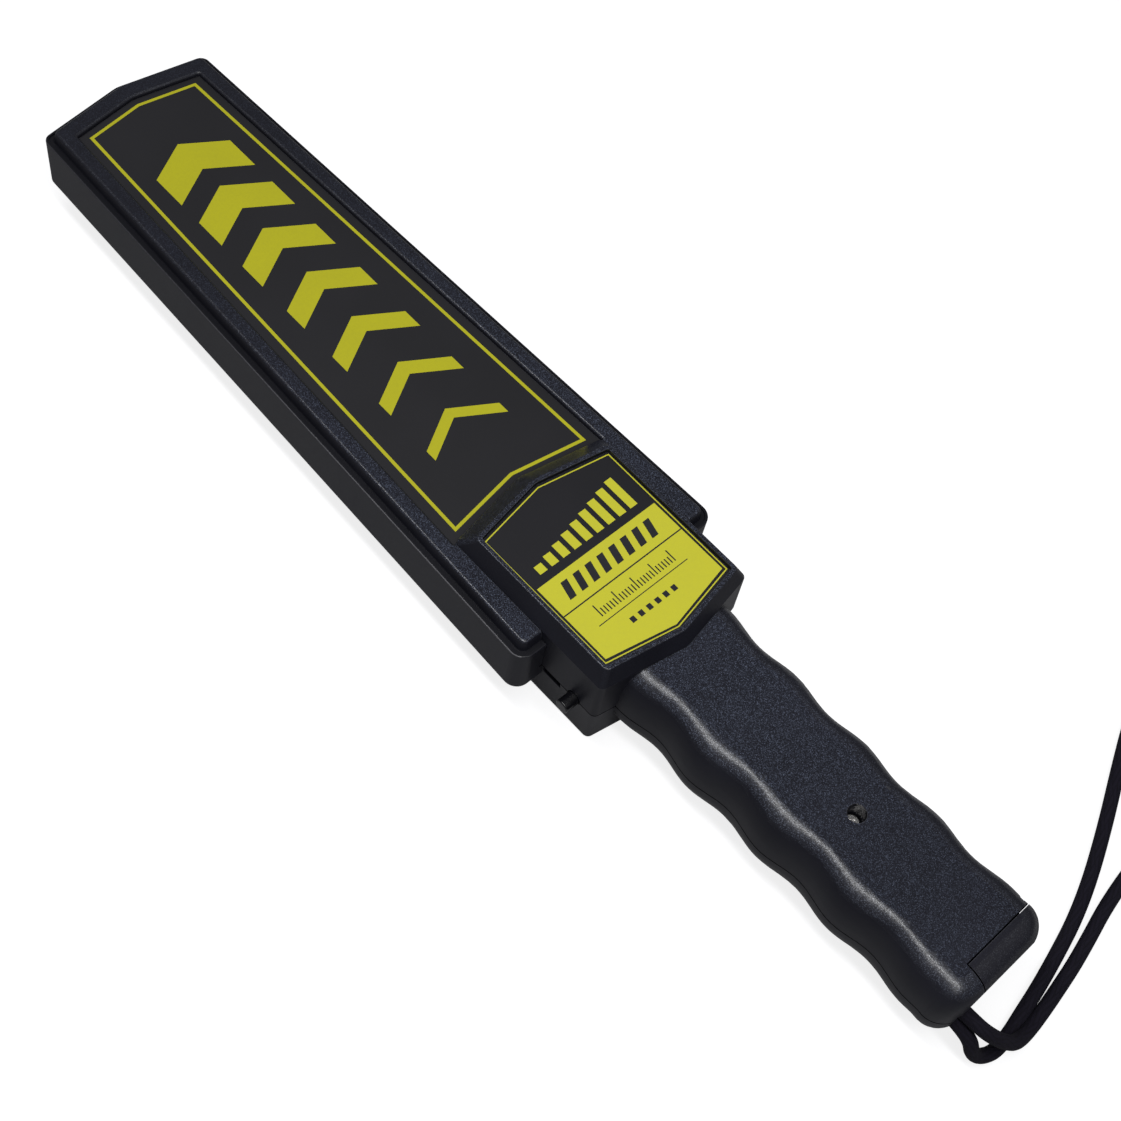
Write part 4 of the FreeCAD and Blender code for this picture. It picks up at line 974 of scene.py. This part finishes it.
@dataclass
class Housing:
    """The two shells and the battery cover, which are solids of the frame."""

    shells: GrainedPlastic = GrainedPlastic("grained moulding")
    cover: GrainedPlastic = GrainedPlastic(
        "smooth cover", worn=(0.0135, 0.0125, 0.0195), roughness=0.36, grain_depth=0.012 * MM,
        glint_share=0.12)

    def dress(self) -> None:
        """Give the mouldings their finish, with painted shade along the seam lines between them."""
        grained = self.shells.build()
        paint("front_shell", grained)
        paint("rear_shell", grained)
        paint("battery_cover", self.cover.build())
        log.info("housing dressed")


@dataclass
class HeadFilm:
    """Black film of the head, its yellow line and a row of chevrons that thin out."""

    film: SatinFilm = SatinFilm("head film")
    ink: InkLayer = InkLayer(37.2)
    outline: FilmOutline = FilmOutline(
        front_apex=12.85, front=(16.35, 22.35), rear=(214.2, 27.95), rear_apex=209.6)
    line: float = 1.15
    chevron_first: float = 36.0
    chevron_pitch: float = 23.5
    chevron_widths: tuple[float, ...] = (14.0, 12.4, 10.8, 9.2, 7.6, 6.0, 4.4)
    chevron_reach: float = 15.5
    chevron_lean: float = 9.0

    def chevron(self, tip: float, width: float) -> list[Flat]:
        """Corners of one chevron.

        Args:
            tip: place of its point, as a distance from the detector's tip, in millimetres.
            width: width of its arms, in millimetres.

        Returns:
            The corners in order.
        """
        foot, reach = tip + self.chevron_lean, self.chevron_reach
        return [
            (tip, 0), (foot, -reach), (foot + width, -reach),
            (tip + width, 0), (foot + width, reach), (foot, reach),
        ]

    def build(self) -> None:
        """Make the printed line and the chevrons."""
        paint("scan_label", self.film.build())
        yellow = Ink.HEAD_YELLOW.value.build()
        mesh = bmesh.new()
        self.ink.line(mesh, self.outline.corners(), self.line)
        close_up(mesh)
        self.keep(to_object(mesh, "head_print_line", yellow))
        mesh = bmesh.new()
        for i, width in enumerate(self.chevron_widths):
            self.ink.plate(mesh, self.chevron(self.chevron_first + self.chevron_pitch * i, width))
        close_up(mesh)
        self.keep(to_object(mesh, "head_print_chevrons", yellow))
        log.info("head film printed")

    def keep(self, piece: bpy.types.Object) -> None:
        """Make a printed piece move with the detector."""
        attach(piece, BODY)


@dataclass
class BoxFilm:
    """Film of the control box: black above, yellow below, with lines and plain marks.

    A divider is given by its distance from the tip, its width and half its length.
    """

    film: SatinFilm = SatinFilm("box film", (0.0095, 0.0092, 0.0118))
    ink: InkLayer = InkLayer(43.5)
    outline: FilmOutline = FilmOutline(
        front_apex=220.45, front=(225.1, 26.4), rear=(279.1, 26.2), rear_apex=284.1)
    line: float = 0.42
    field_from: float = 247.5
    field_in: float = 0.75
    bars: MarkRow = MarkRow(count=9, first=-19.2, pitch=4.8, half_width=1.5, foot=244.4, reach=3.2)
    bar_growth: float = 1.15
    dividers: tuple[tuple[float, float, float], ...] = ((259.4, 0.45, 25.0), (268.5, 0.3, 18.9))
    slashes: MarkRow = MarkRow(count=8, first=-19.5, pitch=5.0, half_width=1.3, foot=256.6, reach=6.3)
    slash_lean: float = 1.6
    ticks: MarkRow = MarkRow(count=25, first=-15.6, pitch=1.3, half_width=0.22, foot=266.8, reach=2.6)
    long_tick: float = 4.6
    long_every: int = 6
    squares: MarkRow = MarkRow(count=6, first=-9.1, pitch=3.5, half_width=0.9, foot=274.4, reach=2.0)

    def yellow_field(self) -> list[Flat]:
        """Outline of the yellow field in the lower part.

        Returns:
            Its corners in order.
        """
        gap = self.field_in + self.line
        rear, half = self.outline.rear[0] - gap, self.outline.rear[1] - gap
        apex = self.outline.rear_apex - gap
        front = self.field_from
        return [(front, -half), (rear, -half), (apex, 0), (rear, half), (front, half)]

    def yellow_print(self) -> bmesh.types.BMesh:
        """Line, field and row of growing bars.

        Returns:
            Their mesh.
        """
        mesh = bmesh.new()
        self.ink.line(mesh, self.outline.corners(), self.line)
        self.ink.plate(mesh, self.yellow_field())
        row = self.bars
        for i, y in row.places():
            reach = row.reach + self.bar_growth * i
            self.ink.bar(mesh, row.foot - reach, row.foot, y - row.half_width, y + row.half_width)
        close_up(mesh)
        return mesh

    def black_print(self) -> bmesh.types.BMesh:
        """Dividers, slashes, ticks and squares, on top of the yellow.

        Returns:
            Their mesh.
        """
        mesh = bmesh.new()
        ink = InkLayer(self.ink.high, self.ink.thick)
        for place, width, half in self.dividers:
            ink.bar(mesh, place, place + width, -half, half)
        row = self.slashes
        for _, y in row.places():
            wide, near = row.half_width * 2, row.foot - row.reach
            start = y + self.slash_lean
            ink.plate(mesh, [(near, start), (row.foot, y), (row.foot, y + wide), (near, start + wide)])
        row = self.ticks
        for i, y in row.places():
            reach = self.long_tick if i % self.long_every == 0 else row.reach
            ink.bar(mesh, row.foot - reach, row.foot, y - row.half_width, y + row.half_width)
        row = self.squares
        for _, y in row.places():
            ink.bar(mesh, row.foot - row.reach, row.foot, y - row.half_width, y + row.half_width)
        close_up(mesh)
        return mesh

    def build(self) -> None:
        """Make the printed pieces."""
        paint("control_label", self.film.build())
        self.keep(to_object(self.yellow_print(), "box_print_yellow", Ink.BOX_YELLOW.value.build()))
        self.keep(to_object(self.black_print(), "box_print_black", Ink.BLACK.value.build()))
        log.info("box film printed")

    def keep(self, piece: bpy.types.Object) -> None:
        """Make a printed piece move with the detector."""
        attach(piece, BODY)


@dataclass
class WristStrap:
    """Round braided cord that leaves the handle, loops over the ground and comes back.

    Its route is in millimetres, the first number of a point being the distance from the tip.
    """

    diameter: float = 4.7
    length: float = 0.396
    sides: int = 20
    steps: int = 24
    leaving: tuple[Point, ...] = (
        (414.6, -13.3, 23.4), (425.2, -13.3, 23.4), (430.0, -9.8, 18.0),
        (433.4, -5.7, 12.4), (436.3, -0.9, 7.4), (436.6, 7.2, 2.9),
    )
    ground: tuple[Flat, ...] = (
        (435.7, 16.0), (434.4, 25.0), (433.0, 34.0), (430.9, 44.0), (427.6, 58.0), (425.0, 78.0),
        (425.6, 105.0), (425.5, 124.0), (421.0, 141.0), (410.0, 150.0), (396.0, 147.0), (389.0, 134.0),
        (392.0, 117.0), (401.0, 98.0), (410.0, 80.0), (418.6, 61.0), (424.0, 46.0), (427.3, 33.0),
        (430.2, 20.0), (431.9, 10.0), (433.4, 2.0), (433.9, -6.4),
    )
    returning: tuple[Point, ...] = ((430.2, -13.5, 6.2), (425.4, -14.8, 18.6), (414.6, -14.8, 18.6))
    braid: Braid = Braid("black braid")

    def route(self) -> list[Point]:
        """Control points of the whole cord, in millimetres."""
        rest = self.diameter / 2
        return [*self.leaving, *((d, y, rest) for d, y in self.ground), *self.returning]

    def line(self) -> list[Vector]:
        """Points along the cord's smooth centreline.

        Returns:
            The points, close together, in metres.
        """
        data = bpy.data.curves.new("strap_line", "CURVE")
        data.dimensions = "3D"
        data.resolution_u = self.steps
        spline = data.splines.new("NURBS")
        route = self.route()
        spline.points.add(len(route) - 1)
        for point, (d, y, z) in zip(spline.points, route):
            point.co = (at(d), y * MM, z * MM, 1.0)
        spline.order_u = 3
        spline.use_endpoint_u = True
        holder = bpy.data.objects.new("strap_line", data)
        bpy.context.scene.collection.objects.link(holder)
        mesh = bpy.data.meshes.new_from_object(holder)
        points = [v.co.copy() for v in mesh.vertices]
        bpy.data.objects.remove(holder)
        bpy.data.meshes.remove(mesh)
        bpy.data.curves.remove(data)
        return points

    def sweep(self, mesh: bmesh.types.BMesh, points: list[Vector]) -> dict[bmesh.types.BMVert, Flat]:
        """Draw a ring along the centreline and close both ends.

        Args:
            mesh: the bmesh to add to.
            points: the centreline.

        Returns:
            For each vertex, its share of the way round and its distance along the cord.
        """
        heading = (points[1] - points[0]).normalized()
        turn = heading.to_track_quat("Z", "Y").to_matrix().to_4x4()
        place = Matrix.Translation(points[0]) @ turn
        radius = self.diameter / 2 * MM
        made = bmesh.ops.create_circle(
            mesh, cap_ends=True, segments=self.sides, radius=radius, matrix=place)
        ring = made["verts"]
        marks = {v: (i / self.sides, 0.0) for i, v in enumerate(ring)}
        run = 0.0
        for i in range(1, len(points)):
            run += (points[i] - points[i - 1]).length
            ahead = (points[min(i + 1, len(points) - 1)] - points[i - 1]).normalized()
            turn = heading.rotation_difference(ahead).to_matrix().to_4x4() @ turn
            heading = ahead
            new_place = Matrix.Translation(points[i]) @ turn
            edges = list({e for v in ring for e in v.link_edges if e.other_vert(v) in ring})
            grown = bmesh.ops.extrude_edge_only(mesh, edges=edges)["geom"]
            fresh = [v for v in grown if isinstance(v, bmesh.types.BMVert)]
            bmesh.ops.transform(mesh, matrix=new_place @ place.inverted(), verts=fresh)
            order = {}
            for v in fresh:
                partner = next(e.other_vert(v) for e in v.link_edges if e.other_vert(v) in marks)
                order[v] = marks[partner][0]
            ring = sorted(fresh, key=order.get)
            marks.update((v, (order[v], run)) for v in ring)
            place = new_place
        bmesh.ops.contextual_create(mesh, geom=ring)
        bmesh.ops.recalc_face_normals(mesh, faces=mesh.faces)
        return marks

    def build(self) -> None:
        """Make the cord, with a UV map for the braid that is cut where the way round starts anew."""
        points = self.line()
        mesh = bmesh.new()
        uv = mesh.loops.layers.uv.new("UVMap")
        marks = self.sweep(mesh, points)
        for face in mesh.faces:
            at_cut = max(marks[loop.vert][0] for loop in face.loops) > 0.75
            for loop in face.loops:
                u, v = marks[loop.vert]
                loop[uv].uv = (u + 1.0 if at_cut and u < 0.25 else u, v)
        run = max(distance for _, distance in marks.values())
        cord = to_object(mesh, "strap_cord", self.braid.build(), smooth=True)
        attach(cord, BODY)
        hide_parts("wrist_strap")
        log.info("strap laid, %.1f mm", run / MM)


@dataclass
class Controls:
    """Button, switch knob, screws and jack.

    The jack ring's profile gives radius and height over the housing's side, in millimetres.
    """

    ring_centre: Point = (at(266.0), 30.2 * MM, 15.5 * MM)
    ring_profile: tuple[tuple[float, float], ...] = (
        (2.0, 0.02), (2.6, 0.02), (2.6, 0.14), (2.4, 0.2), (2.1, 0.2), (2.0, 0.12))
    ring_steps: int = 40

    def build(self) -> None:
        """Dress the solids and add the ring of the jack."""
        finishes = {
            "handle_screw": Metal("plated screw", (0.62, 0.61, 0.6), (0.3, 0.29, 0.28)),
            "rear_screws": Metal("blackened screw", (0.09, 0.09, 0.095), (0.04, 0.04, 0.045), 0.35),
            "push_button": Moulding("button moulding", (0.0045, 0.0045, 0.006), 0.14),
            # The knob is near black and dull: painted shade of its slot over its own black
            "slide_knob": Moulding("knob moulding in painted shade", (0.0012, 0.0012, 0.0015), 0.6, 0.05),
            "jack_socket": Moulding("jack moulding", (0.02, 0.02, 0.022), 0.3),
        }
        for node, finish in finishes.items():
            paint(node, finish.build())
        self.jack_ring()
        log.info("controls dressed")

    def jack_ring(self) -> None:
        """Nickel ring round the jack's mouth."""
        mesh = bmesh.new()
        centre = Vector(self.ring_centre)
        verts = [mesh.verts.new(centre + Vector((r * MM, h * MM, 0))) for r, h in self.ring_profile]
        edges = [mesh.edges.new((verts[i - 1], verts[i])) for i in range(len(verts))]
        bmesh.ops.spin(
            mesh, geom=verts + edges, cent=centre, axis=(0, 1, 0), angle=math.tau,
            steps=self.ring_steps, use_merge=True)
        close_up(mesh)
        nickel = Metal("nickel", (0.66, 0.64, 0.6), (0.4, 0.38, 0.35), 0.18).build()
        ring = to_object(mesh, "jack_ring", nickel, smooth=True)
        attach(ring, BODY)


@dataclass
class Electronics:
    """Everything inside the housing."""

    def dress(self) -> None:
        """Give each inner solid its finish."""
        finishes = {
            "battery": Metal("battery jacket", (0.3, 0.31, 0.33), (0.2, 0.2, 0.21), 0.35),
            "battery_snap": Moulding("snap moulding", (0.015, 0.015, 0.016), 0.5),
            "battery_lead_red": Moulding("red insulation", (0.42, 0.012, 0.01)),
            "battery_lead_black": Moulding("black insulation", (0.014, 0.014, 0.015)),
            "strap_anchor": Moulding("anchor moulding", (0.02, 0.02, 0.022), 0.5),
            "circuit_board": CircuitLaminate("laminate"),
            "board_chips": Moulding("chip moulding", (0.014, 0.014, 0.015), 0.6),
            "capacitors": Metal("capacitor sleeve", (0.05, 0.07, 0.2), (0.03, 0.04, 0.12), 0.3),
            "board_headers": Moulding("header moulding", (0.62, 0.58, 0.46), 0.4),
            "trimmer": Moulding("trimmer moulding", (0.02, 0.07, 0.36)),
            "trimmer_rotor": Metal("rotor brass", (0.6, 0.43, 0.16), (0.4, 0.28, 0.1)),
            "buzzer": Moulding("buzzer moulding", (0.018, 0.018, 0.019), 0.45),
            "slide_switch": Metal("switch frame", (0.55, 0.54, 0.52), (0.4, 0.38, 0.35)),
            "push_switch": Moulding("switch moulding", (0.02, 0.02, 0.021), 0.4),
            "vibration_motor": Metal("motor can", (0.6, 0.59, 0.57), (0.45, 0.44, 0.42)),
            "motor_weight": Metal("weight metal", (0.35, 0.31, 0.24), (0.25, 0.22, 0.18), 0.4),
            "coil_former": Moulding("former moulding", (0.6, 0.58, 0.5), 0.45),
            "transmit_coil": Winding("transmit winding"),
            "receive_coil": Winding("receive winding", (0.42, 0.2, 0.05), 0.35 * MM),
            "rear_foam": Foam("rear foam"),
            "front_foam": Foam("front foam", (0.075, 0.075, 0.08)),
            "coil_cable": Moulding("cable jacket", (0.1, 0.1, 0.105), 0.45),
        }
        for node, finish in finishes.items():
            paint(node, finish.build())
        log.info("%d inner pieces dressed", len(finishes))


@dataclass(frozen=True)
class Lamp:
    """Rectangular soft lamp that looks at a point, its long side along X, in metres and watts."""

    name: str
    place: Point
    target: Point
    size: tuple[float, float]
    power: float

    def hang(self) -> None:
        """Put it in the scene."""
        data = bpy.data.lights.new(self.name, "AREA")
        data.shape = "RECTANGLE"
        data.size, data.size_y = self.size
        data.energy = self.power
        back = (Vector(self.place) - Vector(self.target)).normalized()
        across = Vector((1, 0, 0))
        across = (across - across.dot(back) * back).normalized()
        turn = Matrix((across, back.cross(across), back)).transposed().to_4x4()
        thing = bpy.data.objects.new(self.name, data)
        thing.matrix_world = Matrix.Translation(self.place) @ turn
        bpy.context.scene.collection.objects.link(thing)


@dataclass
class Studio:
    """Camera, lamps, floor and world.

    The sky is dim at the horizon and brightens overhead over a span of the direction's Z.
    """

    lens: float = 58.69
    sensor: float = 36.0
    clip: Span = (0.01, 50.0)
    eye: Point = (0.203892, -0.250661, 0.518101)
    azimuth: float = 35.42
    elevation: float = 58.37
    roll: float = 13.77
    floor_size: float = 6.0
    floor_z: float = -0.0002
    floor_colour: Colour = (0.34, 0.34, 0.35)
    floor_lift: float = 0.8
    mirror_lift: float = 0.04
    sky_colour: Colour = (0.96, 0.97, 1.0)
    sky_span: Span = (0.1, 0.95)
    zenith_light: float = 0.36
    horizon_light: float = 0.06
    lamps: tuple[Lamp, ...] = (
        Lamp("overhead", (0.1, -0.17, 0.8), (0.1, -0.03, 0.0), (1.0, 0.09), 4.8),
        Lamp("handle side", (0.75, -0.35, 0.85), (0.12, 0.0, 0.02), (0.5, 0.5), 1.0),
    )

    def camera(self) -> None:
        """Camera at the photograph's place and angle."""
        turn, rise, lean = (math.radians(a) for a in (self.azimuth, self.elevation, self.roll))
        flat = math.cos(rise)
        back = Vector((math.sin(turn) * flat, -math.cos(turn) * flat, math.sin(rise)))
        right = Vector((math.cos(turn), math.sin(turn), 0))
        up = back.cross(right)
        across = math.cos(lean) * right + math.sin(lean) * up
        upward = -math.sin(lean) * right + math.cos(lean) * up
        data = bpy.data.cameras.new("camera")
        data.lens = self.lens
        data.sensor_width = self.sensor
        data.sensor_fit = "HORIZONTAL"
        data.clip_start, data.clip_end = self.clip
        thing = bpy.data.objects.new("camera", data)
        aim = Matrix((across, upward, back)).transposed().to_4x4()
        thing.matrix_world = Matrix.Translation(self.eye) @ aim
        bpy.context.scene.collection.objects.link(thing)
        bpy.context.scene.camera = thing

    def floor(self) -> None:
        """Pale floor that is white to the camera where nothing shades it."""
        tree = Tree.of_material("studio floor")
        ray = tree.add("ShaderNodeLightPath")
        seen = Value(tree, ray.outputs["Is Camera Ray"])
        glossy = Value(tree, ray.outputs["Is Glossy Ray"])
        mirrored = glossy.most(Value(tree, ray.outputs["Is Transmission Ray"]))
        lift = seen * self.floor_lift + mirrored * self.mirror_lift
        plain = tree.add("ShaderNodeBsdfDiffuse", None, {"Color": opaque(self.floor_colour)})
        glow = tree.add("ShaderNodeEmission", None, {"Color": opaque((1, 1, 1)), "Strength": lift})
        lit = tree.add("ShaderNodeAddShader", None, {0: plain.outputs[0], 1: glow.outputs[0]})
        tree.add("ShaderNodeOutputMaterial", None, {0: lit.outputs[0]})
        mesh = bmesh.new()
        bmesh.ops.create_grid(
            mesh, x_segments=1, y_segments=1, size=self.floor_size,
            matrix=Matrix.Translation((0, 0, self.floor_z)))
        to_object(mesh, "floor", tree.owner)

    def world(self) -> None:
        """Pale surroundings, white to the camera."""
        tree = Tree(bpy.data.worlds.new("studio"))
        bpy.context.scene.world = tree.owner
        ray = tree.add("ShaderNodeLightPath")
        _, _, rise = tree.split(tree.add("ShaderNodeTexCoord").outputs["Generated"])
        light = rise.ramp(*self.sky_span) * (self.zenith_light - self.horizon_light) + self.horizon_light
        pale = {"Color": opaque(self.sky_colour), "Strength": light}
        sky = tree.add("ShaderNodeBackground", None, pale)
        white = tree.add("ShaderNodeBackground", None, {"Color": opaque((1, 1, 1)), "Strength": 1.0})
        layers = {0: ray.outputs["Is Camera Ray"], 1: sky.outputs[0], 2: white.outputs[0]}
        pick = tree.add("ShaderNodeMixShader", None, layers)
        tree.add("ShaderNodeOutputWorld", None, {0: pick.outputs[0]})

    def build(self) -> None:
        """Set up the whole studio."""
        self.camera()
        self.floor()
        self.world()
        for lamp in self.lamps:
            lamp.hang()
        bpy.context.scene.view_settings.view_transform = "Standard"


def main() -> None:
    """Build the detector's looks, piece by piece."""
    logging.basicConfig(level=logging.INFO)
    Studio().build()
    WristStrap().build()
    Housing().dress()
    HeadFilm().build()
    BoxFilm().build()
    Controls().build()
    Electronics().dress()


if __name__ == "__main__":
    main()
